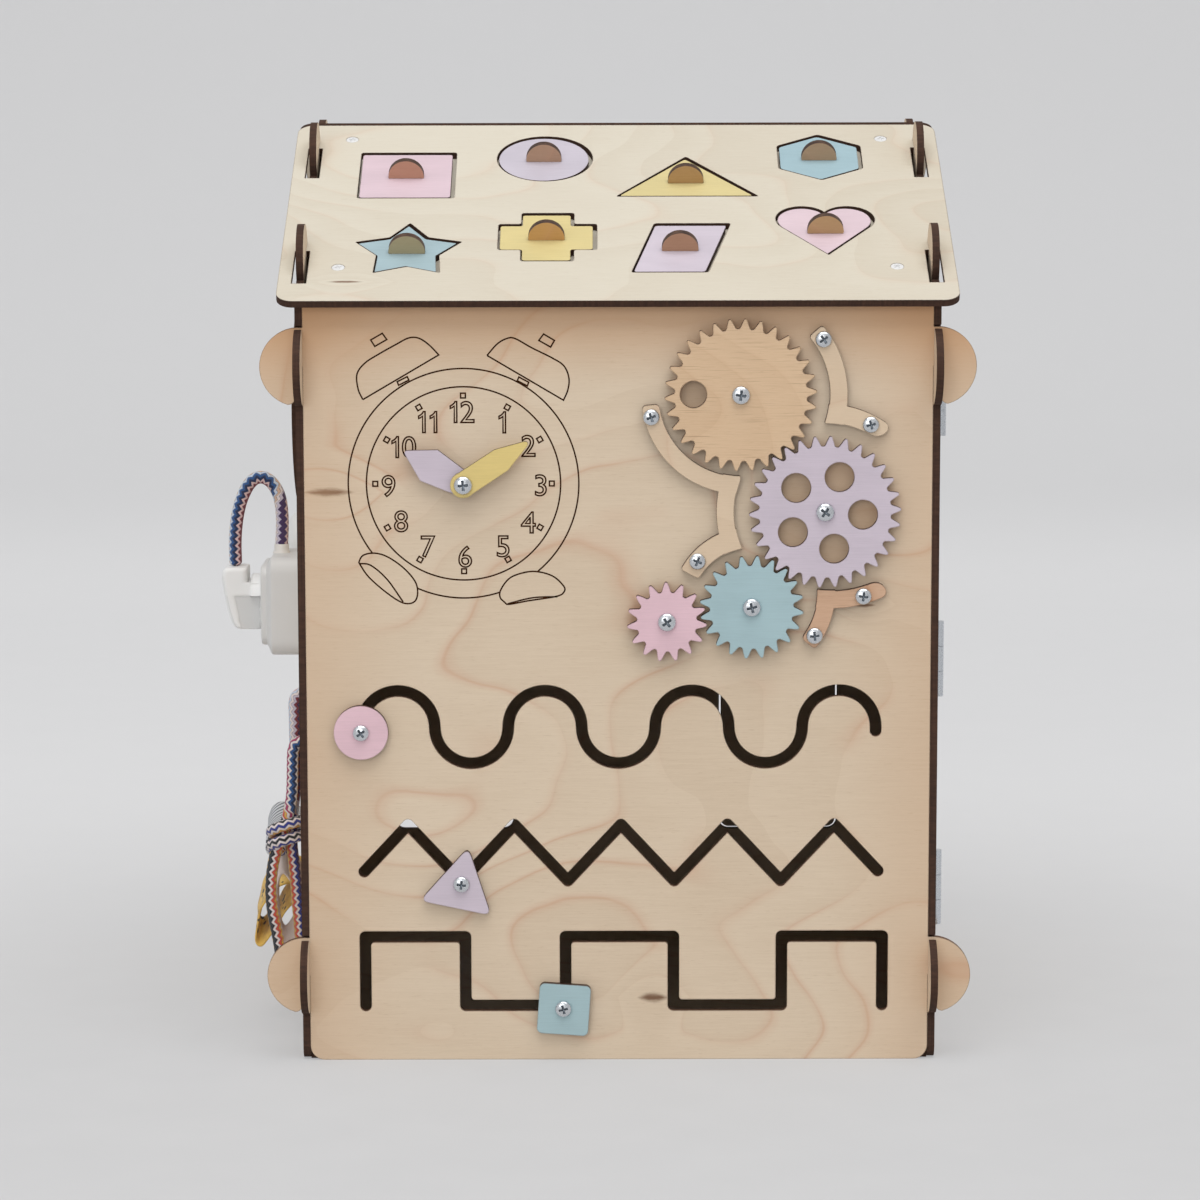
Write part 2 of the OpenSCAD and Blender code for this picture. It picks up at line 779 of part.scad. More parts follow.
module front_roof() {
    color(pale_birch)
    on_roof()
        difference() {
            linear_extrude(ply)
                difference() {
                    rounded_rect(-roof_w / 2, 0, roof_w / 2, front_roof_l, roof_corner_r);
                    roof_slots_2d(hook_high_s);
                    tile_holes_2d();
                }
            for (p = tray_screw_spots)
                translate([p[0], p[1], 0]) {
                    translate([0, 0, -1]) cylinder(r = tray_shank_r + run_fit, h = ply + 2);
                    translate([0, 0, ply - tray_head_h])
                        cylinder(r1 = tray_shank_r + run_fit, r2 = tray_head_r + run_fit,
                                 h = tray_head_h + 0.01);
                }
        }
}

module back_roof() {
    color(pale_birch)
    mirror([0, 1, 0]) on_roof()
        linear_extrude(ply)
            difference() {
                rounded_rect(-roof_w / 2, 0, roof_w / 2, back_roof_l, roof_corner_r);
                roof_slots_2d(hook_high_s + back_hook_shift);
            }
}

module roof_tray() {
    color(pale_birch)
    on_roof()
        difference() {
            translate([0, 0, -tray_t]) linear_extrude(tray_t)
                rounded_rect(-tray_half_w, tray_low_s, tray_half_w, tray_high_s, 3);
            for (p = tray_screw_spots)
                translate([p[0], p[1], -tray_t - 1])
                    cylinder(r = tray_shank_r + run_fit, h = tray_t + 2);
        }
}

module tray_screws() {
    color(white)
    on_roof()
        for (p = tray_screw_spots)
            translate([p[0], p[1], 0]) {
                translate([0, 0, -tray_t + 0.5]) cylinder(r = tray_shank_r, h = ply + tray_t - 1);
                translate([0, 0, ply - tray_head_h])
                    cylinder(r1 = tray_shank_r, r2 = tray_head_r, h = tray_head_h);
            }
}

// ---------------------------------------------------------------- gears and guides

// Half a tooth as [radius, share of the tooth pitch] from its tip to its foot.
function half_tooth(pr) = let (rr = pr - dedendum, ro = pr + addendum) [
    [ro, 0.055], [ro - 0.35, 0.09], [pr, 0.19], [rr + 0.8, 0.315], [rr + 0.25, 0.36],
    [rr, 0.42]
];

module gear_2d(teeth, phase) {
    pr = gear_module * teeth / 2;
    half = half_tooth(pr);
    step = 360 / teeth;
    polygon([
        for (i = [0 : teeth - 1])
            for (p = concat(
                [[pr - dedendum - 0.1, -0.5]],
                [for (k = [len(half) - 1 : -1 : 0]) [half[k][0], -half[k][1]]],
                half))
                from([0, 0], p[0], phase + step * (i + p[1]))
    ]);
}

module gear(c, teeth, phase, holes = []) {
    difference() {
        on_front(gear_back, gear_front) translate(c) gear_2d(teeth, phase);
        front_bar(c, bolt_r + run_fit, gear_back - 1, gear_front + 1);
        for (h = holes)
            front_bar(from(c, h[0], h[1]), h[2], gear_back - 1, gear_front + 1);
    }
}

finger_reach = 25.7;
window_reach = 20.6;
module wood_gear() {
    color(orange_birch) gear(wood_c, wood_teeth, wood_phase, [[finger_reach, 179, finger_r]]);
}
module lilac_gear() {
    color(lilac)
        gear(lilac_c, lilac_teeth, lilac_phase,
             [for (i = [0 : 4]) [window_reach, -4 + 72 * i, window_r]]);
}
module blue_gear() {
    color(blue) gear(blue_c, blue_teeth, blue_phase);
}
module pink_gear() {
    color(pink) gear(pink_c, pink_teeth, pink_phase);
}

// Guide strip from bands, trimmed to run clear of the gears that it follows.
trim_in = 0.4;
module guide(holes, trims) {
    difference() {
        on_front(0, guide_t)
            difference() {
                children();
                for (t = trims)
                    translate(t[0]) circle(t[1] - trim_in, $fn = 128);
            }
        for (c = holes)
            front_bar(c, screw_r + run_fit, -1, guide_t + 1);
    }
}

module gear_guide_top() {
    color(pale_birch)
    guide([guide_holes[0], guide_holes[1]], [[wood_c, big_guide_r], [lilac_c, big_guide_r]]) {
        band(wood_c, big_guide_r, big_guide_r + guide_w, -20, 40.5, [0.6, 0.6], [2, 1.6]);
        band(lilac_c, big_guide_r, big_guide_r + guide_w + 0.6, 52.5, 91, [3.6, 6.4], [0.6, 0.6]);
    }
}

module gear_guide_left() {
    color(pale_birch)
    guide([guide_holes[2], guide_holes[3]],
          [[wood_c, low_guide_r], [lilac_c, side_guide_r], [blue_c, small_guide_r]]) {
        band(wood_c, low_guide_r, low_guide_r + guide_w, 186.3, 270, [2.4, 2.4], [1, 1]);
        band(lilac_c, side_guide_r, side_guide_r + guide_w, 157, 204.5, [1, 1], [1, 1]);
        band(blue_c, small_guide_r, small_guide_r + guide_w + 1.6, 98, 152, [1, 1], [1.6, 1.6]);
    }
}

module gear_guide_low() {
    color(orange_birch)
    guide([guide_holes[4], guide_holes[5]], [[flat_c, flat_r], [tail_c, tail_r]]) {
        band(flat_c, flat_r, flat_r + guide_w, -99, -62.5, [1, 1], [3.6, 5.8]);
        band(tail_c, tail_r, tail_r + guide_w, -38.5, 7, [2.4, 2.4], [1, 1]);
    }
}

pan_h = 2.8;
bolt_head_h = 3.2;
gear_under = gear_front + 0.2;
clock_under = minute_back + hand_t + 0.2;

// Bolt through a wall about local X: under is its head's distance from the wall's face.
module side_bolt(under, r, head_r, head_h) {
    translate([under, 0, 0]) rotate([0, 90, 0]) bolt(r, under + ply + nut_t + 1, head_r, head_h);
}

module panel_screws() {
    color(zinc) {
        for (c = guide_holes)
            front_bolt(c, guide_t, screw_r, screw_head_r, pan_h, guide_t + ply + nut_t + 1);
        for (i = [0 : 2])
            at_right_turn(i) side_bolt(button_gap + turn_t + 0.2, screw_r, screw_head_r, pan_h);
        at_back_turn() side_bolt(button_gap + turn_t + 0.2, screw_r, screw_head_r, pan_h);
    }
}

module pivot_bolts() {
    color(zinc) {
        for (c = [wood_c, lilac_c, blue_c, pink_c])
            front_bolt(c, gear_under, bolt_r, bolt_head_r, bolt_head_h,
                       gear_under + ply + nut_t + 1);
        front_bolt(clock_c, clock_under, bolt_r, bolt_head_r, bolt_head_h,
                   clock_under + ply + nut_t + 1);
        at_wheel() side_bolt(button_gap + wheel_t + 0.2, bolt_r, bolt_head_r, bolt_head_h);
    }
}

spacer_r = 5;
module pivot_spacers() {
    color(zinc)
    for (c = pivots)
        difference() {
            front_bar(c, spacer_r, 0, gear_off);
            front_bar(c, bolt_r + run_fit, -1, gear_off + 1);
        }
}

// Clock hand along X from its pivot: round hub, widest at the bulge, narrow blunt tip.
hand_hub_r = 7;
module hand_2d(l, bulge, bulge_half) {
    circle(hand_hub_r);
    polygon([
        [0, 0.2 - hand_hub_r], [bulge, -bulge_half], [l - 1.2, -1.5], [l - 0.3, -0.8], [l, 0],
        [l - 0.3, 0.8], [l - 1.2, 1.5], [bulge, bulge_half], [0, hand_hub_r - 0.2]
    ]);
}

module hand(l, bulge, bulge_half, angle, d0) {
    difference() {
        on_front(d0, d0 + hand_t)
            translate(clock_c) rotate(angle) hand_2d(l, bulge, bulge_half);
        front_bar(clock_c, bolt_r + run_fit, d0 - 1, d0 + hand_t + 1);
    }
}

module hour_hand() {
    color(lilac) hand(hour_l, hour_l * 0.587, 9.65, hour_angle, hour_back);
}
module minute_hand() {
    color(yellow) hand(minute_l, minute_l * 0.59, 6.7, minute_angle, minute_back);
}

// ---------------------------------------------------------------- sliders

// Two of the screws hang below the middle lines of their slots.
sag = 0.95;
side_slack = 1.3;
disc_c = wave_points[0];
triangle_c = zig_point(2) - [0, sag];
square_c = [step_x[2] - side_slack, step_low_z - sag];
triangle_angle = 78;
square_angle = -4;

module slider_button(c) {
    difference() {
        on_front(slide_gap, slide_gap + button_t) translate(c) children();
        front_bar(c, screw_r + run_fit, 0, slide_gap + button_t + 1);
    }
}

module disc_button() {
    color(pink) slider_button(disc_c) circle(disc_r);
}
module triangle_button() {
    color(lilac)
    slider_button(triangle_c)
        translate([-0.9, -2.1])
            polygon(softened(ring(3, triangle_r, triangle_r, triangle_angle), 5));
}
module square_button() {
    color(blue)
    slider_button(square_c)
        translate([0.3, -0.5]) rotate(square_angle)
            rounded_rect(-square_half, -square_half, square_half, square_half, 3);
}

// Screw, back washer and nut that carry a button along its slot.
module runner(c) {
    under = slide_gap + button_t + 0.2;
    back = ply + slide_gap;
    color(zinc) {
        front_bolt(c, under, screw_r, screw_head_r, pan_h, under + back + washer_t + nut_t);
        front_bar(c, washer_r, -back - washer_t, -back);
        translate([c[0], -half_d + back + washer_t + nut_t, c[1]]) rotate([90, 0, 0])
            cylinder(r = nut_r, h = nut_t + 0.01, $fn = 6);
    }
}
module disc_runner() { runner(disc_c); }
module triangle_runner() { runner(triangle_c); }
module square_runner() { runner(square_c); }

// ---------------------------------------------------------------- doors

// Hinge leaf about a pin on the Z axis. The wall's face lies at x = -pin_off, and the
// leaf runs to +Y. own lists the knuckle stretches that belong to this leaf.
knuckle_gap = 0.3;
function knuckles(fixed) = fixed
    ? [[-hinge_h / 2, -hinge_h / 6 - knuckle_gap / 2], [hinge_h / 6 + knuckle_gap / 2, hinge_h / 2]]
    : [[-hinge_h / 6 + knuckle_gap / 2, hinge_h / 6 - knuckle_gap / 2]];

module hinge_leaf(fixed) {
    difference() {
        union() {
            translate([-pin_off, barrel_r + 0.5, -hinge_h / 2])
                cube([leaf_t, hinge_leaf_w - barrel_r - 0.5, hinge_h]);
            for (k = knuckles(fixed)) {
                translate([-pin_off, 0, k[0]]) cube([leaf_t, hinge_leaf_w / 2, k[1] - k[0]]);
                translate([0, 0, k[0]]) cylinder(r = barrel_r, h = k[1] - k[0]);
            }
        }
        if (!fixed)
            translate([0, 0, -hinge_h]) cylinder(r = pin_r + run_fit, h = 2 * hinge_h);
    }
    if (fixed)
        translate([0, 0, -hinge_h / 2]) cylinder(r = pin_r, h = hinge_h);
}

// Frames of the four doors: local X stands off the wall, local Y runs across the door.
module at_right_door(i) {
    translate([half_w + pin_off, door_y + door_gap / 2, door_z[i]]) children();
}
module at_back_door() {
    translate([window_x + window_w / 2 - door_gap / 2, half_d + pin_off, window_low_z + window_h / 2])
        rotate([0, 0, 90]) children();
}

// Door leaf in its door frame: w and h are the opening's sizes, and the finger hole lies
// hole_z above the leaf's middle.
module door_leaf(w, h, round_r, hole_y, hole_z = 0) {
    difference() {
        translate([-pin_off - ply, 0, 0]) rotate([90, 0, 90])
            linear_extrude(ply)
                rounded_rect(door_gap / 2, -h / 2 + door_gap, w - door_gap * 1.5, h / 2 - door_gap,
                             round_r);
        translate([-pin_off - ply - 1, hole_y, hole_z]) rotate([0, 90, 0])
            cylinder(r = door_hole_r, h = ply + 2);
    }
}

module right_door(i) {
    color(birch) at_right_door(i) door_leaf(door_w, door_h, door_round, door_w * 0.78);
}
module back_door() {
    color(birch) at_back_door() door_leaf(window_w, window_h, window_round - 1, window_w * 0.76, -back_hole_drop);
}
module right_door_hinge(i) {
    color(zinc) at_right_door(i) hinge_leaf(false);
}
module back_door_hinge() {
    color(zinc) at_back_door() hinge_leaf(false);
}
module hinge_frame_leaves() {
    color(zinc) {
        for (i = [0 : 2])
            at_right_door(i) mirror([0, 1, 0]) hinge_leaf(true);
        at_back_door() mirror([0, 1, 0]) hinge_leaf(true);
    }
}

// Turn button about X, its back at x = 0 and its long side along Z.
module turn_button_shape() {
    difference() {
        rotate([90, 0, 90]) linear_extrude(turn_t)
            strip([0, -turn_l / 2 + turn_w / 2], [0, turn_l / 2 - turn_w / 2], turn_w);
        translate([-1, 0, 0]) rotate([0, 90, 0]) cylinder(r = screw_r + run_fit, h = turn_t + 2);
    }
}

module at_right_turn(i) {
    translate([half_w, turn_y, door_z[i]]) children();
}
module at_back_turn() {
    translate([back_turn_c[0], half_d, back_turn_c[1]]) rotate([0, 0, 90]) children();
}
module at_wheel() {
    translate([-half_w, wheel_y, wheel_z]) rotate([0, 0, 180]) children();
}

module right_turn_button(i) {
    color(orange_birch) at_right_turn(i) translate([button_gap, 0, 0]) turn_button_shape();
}
module back_turn_button() {
    color(orange_birch) at_back_turn() translate([button_gap, 0, 0]) turn_button_shape();
}

wheel_t = 4;
wheel_hole_r = 9;
module spin_wheel() {
    color(birch)
    at_wheel()
        difference() {
            translate([button_gap, 0, 0]) rotate([0, 90, 0]) cylinder(r = wheel_r, h = wheel_t, $fn = 128);
            translate([-1, 0, 0]) rotate([0, 90, 0]) cylinder(r = bolt_r + run_fit, h = wheel_t + 2);
            for (i = [0 : 2])
                rotate([120 * i + 90, 0, 0]) translate([-1, 0, wheel_r * 0.62]) rotate([0, 90, 0])
                    cylinder(r = wheel_hole_r, h = wheel_t + 2);
        }
}

module side_nut(r) {
    translate([-ply, 0, 0]) rotate([0, -90, 0]) nut(r);
}

module lock_nuts() {
    color(zinc) {
        for (c = pivots)
            translate([c[0], -in_d, c[1]]) rotate([-90, 0, 0]) nut(bolt_r);
        for (c = guide_holes)
            translate([c[0], -in_d, c[1]]) rotate([-90, 0, 0]) nut(screw_r);
        for (i = [0 : 2])
            at_right_turn(i) side_nut(screw_r);
        at_back_turn() side_nut(screw_r);
        at_wheel() side_nut(bolt_r);
    }
}

// ---------------------------------------------------------------- socket and plug

// The socket's own frame: local X stands off the left wall.
module at_socket() {
    translate([-half_w, 0, socket_z]) rotate([0, 0, 180]) children();
}

// Square block along X with corners rounded by r.
module square_block(x0, x1, side, r) {
    translate([x0, 0, 0]) rotate([90, 0, 90]) linear_extrude(x1 - x0)
        rounded_rect(-side / 2, -side / 2, side / 2, side / 2, r);
}

module socket_box() {
    color(white)
    at_socket()
        difference() {
            square_block(0, socket_d, socket_s, socket_r);
            square_block(socket_wall, socket_d + 1, socket_s - 2 * socket_wall,
                         socket_r - socket_wall);
        }
}

cover_x = socket_d;
rim_x = cover_x + chamfer_t;
face_x = rim_x + rim_t;
module socket_cover() {
    color(white)
    at_socket()
        difference() {
            union() {
                for (k = [0 : 2])
                    square_block(cover_x, cover_x + chamfer_t * (k + 1) / 3,
                                 socket_s - (socket_s - rim_s) * k / 3, socket_r - 0.6 * k);
                square_block(cover_x, face_x, rim_s, rim_r);
                translate([face_x - recess_deep - 2, 0, 0]) rotate([0, 90, 0])
                    cylinder(r = recess_r + 2, h = recess_deep);
            }
            translate([face_x - recess_deep, 0, 0]) rotate([0, 90, 0])
                cylinder(r = recess_r, h = recess_deep + 1);
            for (y = [-prong_y, prong_y])
                translate([0, y, 0]) rotate([0, 90, 0])
                    cylinder(r = prong_r + 0.15, h = face_x);
        }
}

// Round base and pins of the plug, and the handle that its cord leaves from.
handle_t = 24;
module plug() {
    base_x = face_x - recess_deep + 0.4;
    back = base_x + plug_base_t;
    top = cord_route[len(cord_route) - 1][2] - socket_z;
    tail = -cord_route[len(cord_route) - 1][0] - half_w;
    color(white)
    at_socket() {
        translate([base_x, 0, 0]) rotate([0, 90, 0]) cylinder(r = plug_r, h = plug_base_t);
        rotate([90, 0, 0]) translate([0, 0, -handle_t / 2]) linear_extrude(handle_t)
            polygon([
                [back - 2, 1.5 - plug_r], [back + 6, 1.5 - plug_r], [back + 9.4, 3.9 - plug_r],
                [back + 11.8, 8 - plug_r], [back + 13.6, 15 - plug_r], [tail + 7.6, top - 12],
                [tail + 8, top - 7], [tail + 7, top - 2], [tail + 4.8, top],
                [tail - 6.4, top], [back - 2, top - 1]
            ]);
        for (y = [-prong_y, prong_y])
            translate([base_x - prong_l, y, 0]) rotate([0, 90, 0])
                cylinder(r = prong_r, h = prong_l + 0.01);
    }
}

// Push lamp: a round base on the wall and a dome that moves in and out of it.
module at_lamp() {
    translate([-half_w, lamp_y, lamp_z]) rotate([0, -90, 0]) children();
}
lamp_seat = 2;
module lamp_base() {
    color(white)
    at_lamp()
        rotate_extrude()
            polygon([
                [0, 0], [lamp_base_r, 0], [lamp_base_r, lamp_base_t - 1],
                [lamp_base_r - 1, lamp_base_t], [lamp_r + 0.3, lamp_base_t],
                [lamp_r + 0.3, lamp_seat], [0, lamp_seat]
            ]);
}
lamp_travel = 2.5;
lamp_flat_r = 12;
lamp_h = 16;
module lamp_dome() {
    back = lamp_seat + lamp_travel + 0.3;
    color([0.96, 0.96, 0.95])
    at_lamp()
        rotate_extrude()
            polygon(concat(
                [[0, back], [lamp_r, back]],
                [for (i = [0 : 14])
                    [lamp_flat_r + (lamp_r - lamp_flat_r) * cos(i * 90 / 14),
                     back + 3.2 + lamp_h * sin(i * 90 / 14)]],
                [[0, back + 3.2 + lamp_h]]
            ));
}

// ---------------------------------------------------------------- cords and ribbons

function heading(p, i) =
    i == 0 ? unit(p[1] - p[0])
    : i == len(p) - 1 ? unit(p[i] - p[i - 1])
    : unit(unit(p[i + 1] - p[i]) + unit(p[i] - p[i - 1]));

// Tube of diameter d along points that lie in an XZ plane.
module tube(points, d, sides) {
    n = len(points);
    rings = [
        for (i = [0 : n - 1])
            let (t = heading(points, i), u = [0, 1, 0], v = cross(t, u))
            for (k = [0 : sides - 1])
                points[i] + d / 2 * (cos(360 * k / sides) * u + sin(360 * k / sides) * v)
    ];
    walls = [
        for (i = [0 : n - 2])
            for (k = [0 : sides - 1])
                let (a = i * sides + k, b = i * sides + (k + 1) % sides)
                [a, b, b + sides, a + sides]
    ];
    caps = [[for (k = [sides - 1 : -1 : 0]) k], [for (k = [0 : sides - 1]) (n - 1) * sides + k]];
    polyhedron(points = rings, faces = concat(walls, caps), convexity = 6);
}

module plug_cord() {
    color([0.45, 0.42, 0.52]) tube(cord_route, cord_d, 10);
}
module upper_lace() {
    color([0.75, 0.55, 0.55]) tube(upper_lace_route, lace_d, 8);
}
module lower_lace() {
    color([0.45, 0.50, 0.65]) tube(lower_lace_route, lace_d, 8);
}

knot_r = 8.5;
knot_h = 17;
module lace_knot() {
    color([0.70, 0.60, 0.62])
    translate(off_left([knot_off, knot_z], (lace_y[0] + lace_y[1]) / 2))
        rotate_extrude()
            polygon([[0, -knot_h / 2], [knot_r - 3, -knot_h / 2], [knot_r, -knot_h / 2 + 3],
                     [knot_r, knot_h / 2 - 3], [knot_r - 3, knot_h / 2], [0, knot_h / 2]]);
}

// Middle line of a drooping ribbon loop in X and Z. Its two ends leave the wall level.
function loop_point(i, t) = [
    -half_w - ribbon_out[i] * sin(180 * t),
    ribbon_z[i] + 2 * cos(180 * t) - ribbon_drop[i] * pow(sin(180 * t), 2)
        + ribbon_fat[i] * sin(360 * t) * sin(180 * t)
];
loop_steps = 32;
function loop_line(i) = concat(
    [[ply - half_w, ribbon_z[i] + 2]],
    [for (k = [0 : loop_steps]) loop_point(i, k / loop_steps)],
    [[ply - half_w, ribbon_z[i] - 2]]
);
function shifted(p, d) = [
    for (k = [0 : len(p) - 1])
        let (a = p[max(k - 1, 0)], b = p[min(k + 1, len(p) - 1)], t = unit(b - a))
        p[k] + d * [-t[1], t[0]]
];

module ribbon_loop(i) {
    line = loop_line(i);
    outer = shifted(line, ribbon_t / 2);
    inner = shifted(line, -ribbon_t / 2);
    translate([0, ribbon_y[i] + ribbon_w / 2, 0]) rotate([90, 0, 0]) linear_extrude(ribbon_w)
        polygon(concat(outer, [for (k = [len(inner) - 1 : -1 : 0]) inner[k]]));
}

module ribbon_tags() {
    color(yellow)
    for (i = [0 : 2])
        ribbon_loop(i);
}

// ---------------------------------------------------------------- parts

floor_panel();
front_wall();
back_wall();
left_wall();
right_wall();
front_roof();
back_roof();
roof_tray();
tray_screws();
gear_guide_top();
gear_guide_left();
gear_guide_low();
panel_screws();
wood_gear();
lilac_gear();
blue_gear();
pink_gear();
pivot_bolts();
pivot_spacers();
hour_hand();
minute_hand();
disc_button();
triangle_button();
square_button();
disc_runner();
triangle_runner();
square_runner();
color(pink) tile(0);  // square_tile
color(lilac) tile(1);  // circle_tile
color(yellow) tile(2);  // triangle_tile
color(blue) tile(3);  // hexagon_tile
color(blue) tile(4);  // star_tile
color(yellow) tile(5);  // cross_tile
color(lilac) tile(6);  // slanted_tile
color(pink) tile(7);  // heart_tile
right_door(0);  // top_door
right_door(1);  // middle_door
right_door(2);  // low_door
back_door();
right_door_hinge(0);  // top_door_hinge
right_door_hinge(1);  // middle_door_hinge
right_door_hinge(2);  // low_door_hinge
back_door_hinge();
hinge_frame_leaves();
right_turn_button(0);  // top_turn_button
right_turn_button(1);  // middle_turn_button
right_turn_button(2);  // low_turn_button
back_turn_button();
spin_wheel();
lock_nuts();
socket_box();
socket_cover();
plug();
plug_cord();
lamp_base();
lamp_dome();
upper_lace();
lower_lace();
lace_knot();
ribbon_tags();
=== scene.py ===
"""Looks of a wooden, house-shaped busy board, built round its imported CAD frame.

X runs to the right, Y to the back, Z up; the front faces -Y. Lengths in this file are in
millimetres unless a name says otherwise, and mesh() turns them into metres.
"""
import math

import bpy
import numpy as np
from mathutils import Matrix, Vector


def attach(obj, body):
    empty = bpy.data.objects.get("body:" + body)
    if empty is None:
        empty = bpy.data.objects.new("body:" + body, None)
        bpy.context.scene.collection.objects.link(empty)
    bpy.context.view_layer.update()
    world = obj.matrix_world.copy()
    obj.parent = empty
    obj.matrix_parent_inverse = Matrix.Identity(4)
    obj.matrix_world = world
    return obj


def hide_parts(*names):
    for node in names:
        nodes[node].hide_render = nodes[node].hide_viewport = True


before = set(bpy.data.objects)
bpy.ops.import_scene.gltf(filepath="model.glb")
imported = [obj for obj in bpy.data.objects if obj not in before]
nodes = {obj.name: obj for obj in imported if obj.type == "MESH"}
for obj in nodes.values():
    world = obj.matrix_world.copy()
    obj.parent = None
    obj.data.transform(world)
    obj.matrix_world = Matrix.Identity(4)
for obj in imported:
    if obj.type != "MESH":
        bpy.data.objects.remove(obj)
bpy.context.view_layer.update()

WALL = 175.0      # half the width and depth of the house
PLY = 4.0
FRONT = -WALL     # Y of the front wall's face
LEFT = -WALL      # X of the left wall's face
SLOPE = math.radians(26.6)
EAVE_Y = WALL + 9.2
EAVE_Z = 422 - 9.2 * math.tan(SLOPE)
UP_ROOF = np.array([0, math.cos(SLOPE), math.sin(SLOPE)])      # up the front slope
OFF_ROOF = np.array([0, -math.sin(SLOPE), math.cos(SLOPE)])    # out of it, square to it


# ---- meshes

def add(name, data):
    """A new object in the scene."""
    made = bpy.data.objects.new(name, data)
    bpy.context.scene.collection.objects.link(made)
    return made


def mesh(name, points, faces, finish, uv=None, marks=None, smooth=True):
    """A mesh object from points in mm. uv is one pair a point, marks one number a point."""
    data = bpy.data.meshes.new(name)
    data.from_pydata((np.asarray(points, float) / 1000).tolist(), [], [list(f) for f in faces])
    data.polygons.foreach_set("use_smooth", [smooth] * len(data.polygons))
    if uv is not None:
        corners = np.empty(len(data.loops), int)
        data.loops.foreach_get("vertex_index", corners)
        layer = data.uv_layers.new(name="along")
        layer.data.foreach_set("uv", np.asarray(uv, float)[corners].ravel())
    for mark, values in (marks or {}).items():
        layer = data.attributes.new(mark, "FLOAT", "POINT")
        layer.data.foreach_set("value", np.asarray(values, float))
    data.materials.append(finish.material)
    data.update()
    if smooth:
        data.set_sharp_from_angle(angle=math.radians(40))
    return add(name, data)


def install(piece, body, slot, *solids):
    """Lets a piece ride on a body, in the place of the CAD solids that it shows."""
    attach(piece, body)
    if solids:
        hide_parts(*solids)
    return piece


def grid_faces(rows, columns, wrap=True):
    """Quads of a grid of points, row by row; the last column joins the first if wrap."""
    r, c = np.meshgrid(np.arange(rows - 1), np.arange(columns if wrap else columns - 1),
                       indexing="ij")
    n = (c + 1) % columns
    quads = np.stack([r * columns + c, r * columns + n, (r + 1) * columns + n,
                      (r + 1) * columns + c], -1)
    return quads.reshape(-1, 4).tolist()


def spline(points, steps):
    """Catmull-Rom curve through the points, with that many steps a span."""
    p = np.asarray(points, float)
    p = np.vstack([2 * p[0] - p[1], p, 2 * p[-1] - p[-2]])
    t = (np.arange(steps) / steps)[:, None]
    out = []
    for a, b, c, d in zip(p[:-3], p[1:-2], p[2:-1], p[3:]):
        out.append(0.5 * (2 * b + (c - a) * t + (2 * a - 5 * b + 4 * c - d) * t ** 2
                          + (3 * b - a - 3 * c + d) * t ** 3))
    return np.vstack(out + [p[-2:-1]])


def run_length(line):
    """Length along the line at each of its points."""
    return np.r_[0, np.cumsum(np.linalg.norm(np.diff(line, axis=0), axis=1))]


def tube(line, radius, sides, side):
    """Points, faces and uv of a round tube: ring point = line + r (cos a, sin a) in the
    plane across the line. u is the turn from the side direction and v the length in mm."""
    ahead = np.gradient(line, axis=0)
    ahead /= np.linalg.norm(ahead, axis=1)[:, None]
    u = np.tile(np.asarray(side, float), (len(line), 1))
    for i in range(len(line)):
        start = u[i - 1] if i else u[0]
        u[i] = start - ahead[i] * (start @ ahead[i])
        u[i] /= np.linalg.norm(u[i])
    v = np.cross(ahead, u)
    a = np.arange(sides + 1) / sides * 2 * math.pi
    r = np.broadcast_to(np.asarray(radius, float), (len(line),))
    points = (line[:, None] + r[:, None, None]
              * (np.cos(a)[None, :, None] * u[:, None] + np.sin(a)[None, :, None] * v[:, None]))
    far = run_length(line)
    uv = np.stack(np.broadcast_arrays(a[None, :] / (2 * math.pi), far[:, None]), -1)
    faces = grid_faces(len(line), sides + 1, wrap=False)
    return points.reshape(-1, 3), faces, uv.reshape(-1, 2)


def lathe(profile, sides):
    """Points and faces of a profile of (radius, height) pairs turned round the Z axis."""
    a = np.arange(sides) / sides * 2 * math.pi
    ring = np.stack([np.cos(a), np.sin(a), np.zeros(sides)], -1)
    points = np.vstack([ring * r + (0, 0, h) for r, h in profile])
    return points, grid_faces(len(profile), sides)


def stand(points, spot, axis):
    """Turns points so that their Z lies along axis, and moves them to spot."""
    turn = np.array(Vector((0, 0, 1)).rotation_difference(Vector(axis)).to_matrix())
    return points @ turn.T + np.asarray(spot, float)


def weld(*parts):
    """Joins (points, faces) pairs into one."""
    points, faces, base = [], [], 0
    for p, f in parts:
        points.append(np.asarray(p, float))
        faces += [[i + base for i in face] for face in f]
        base += len(p)
    return np.vstack(points), faces


# ---- shader maths

class Wire:
    """An output in a node tree that does sums with numbers and with other wires."""

    def __init__(self, tree, socket):
        self.tree = tree
        self.socket = socket

    def calc(self, kind, a, b=None):
        node = self.tree.nodes.new("ShaderNodeMath")
        node.operation = kind
        for put, value in zip(node.inputs, (a, b)):
            if isinstance(value, Wire):
                self.tree.links.new(value.socket, put)
            elif value is not None:
                put.default_value = value
        return Wire(self.tree, node.outputs[0])

    def __add__(self, other):
        return self.calc("ADD", self, other)

    def __radd__(self, other):
        return self.calc("ADD", other, self)

    def __sub__(self, other):
        return self.calc("SUBTRACT", self, other)

    def __rsub__(self, other):
        return self.calc("SUBTRACT", other, self)

    def __mul__(self, other):
        return self.calc("MULTIPLY", self, other)

    def __rmul__(self, other):
        return self.calc("MULTIPLY", other, self)

    def __truediv__(self, other):
        return self.calc("DIVIDE", self, other)

    def __pow__(self, other):
        return self.calc("POWER", self, other)

    def __abs__(self):
        return self.calc("ABSOLUTE", self)

    def fract(self):
        return self.calc("FRACT", self)

    def least(self, other):
        return self.calc("MINIMUM", self, other)

    def zigzag(self):
        """0 at whole numbers and 1 halfway between them, in straight lines."""
        return 1 - abs(self.fract() - 0.5) * 2


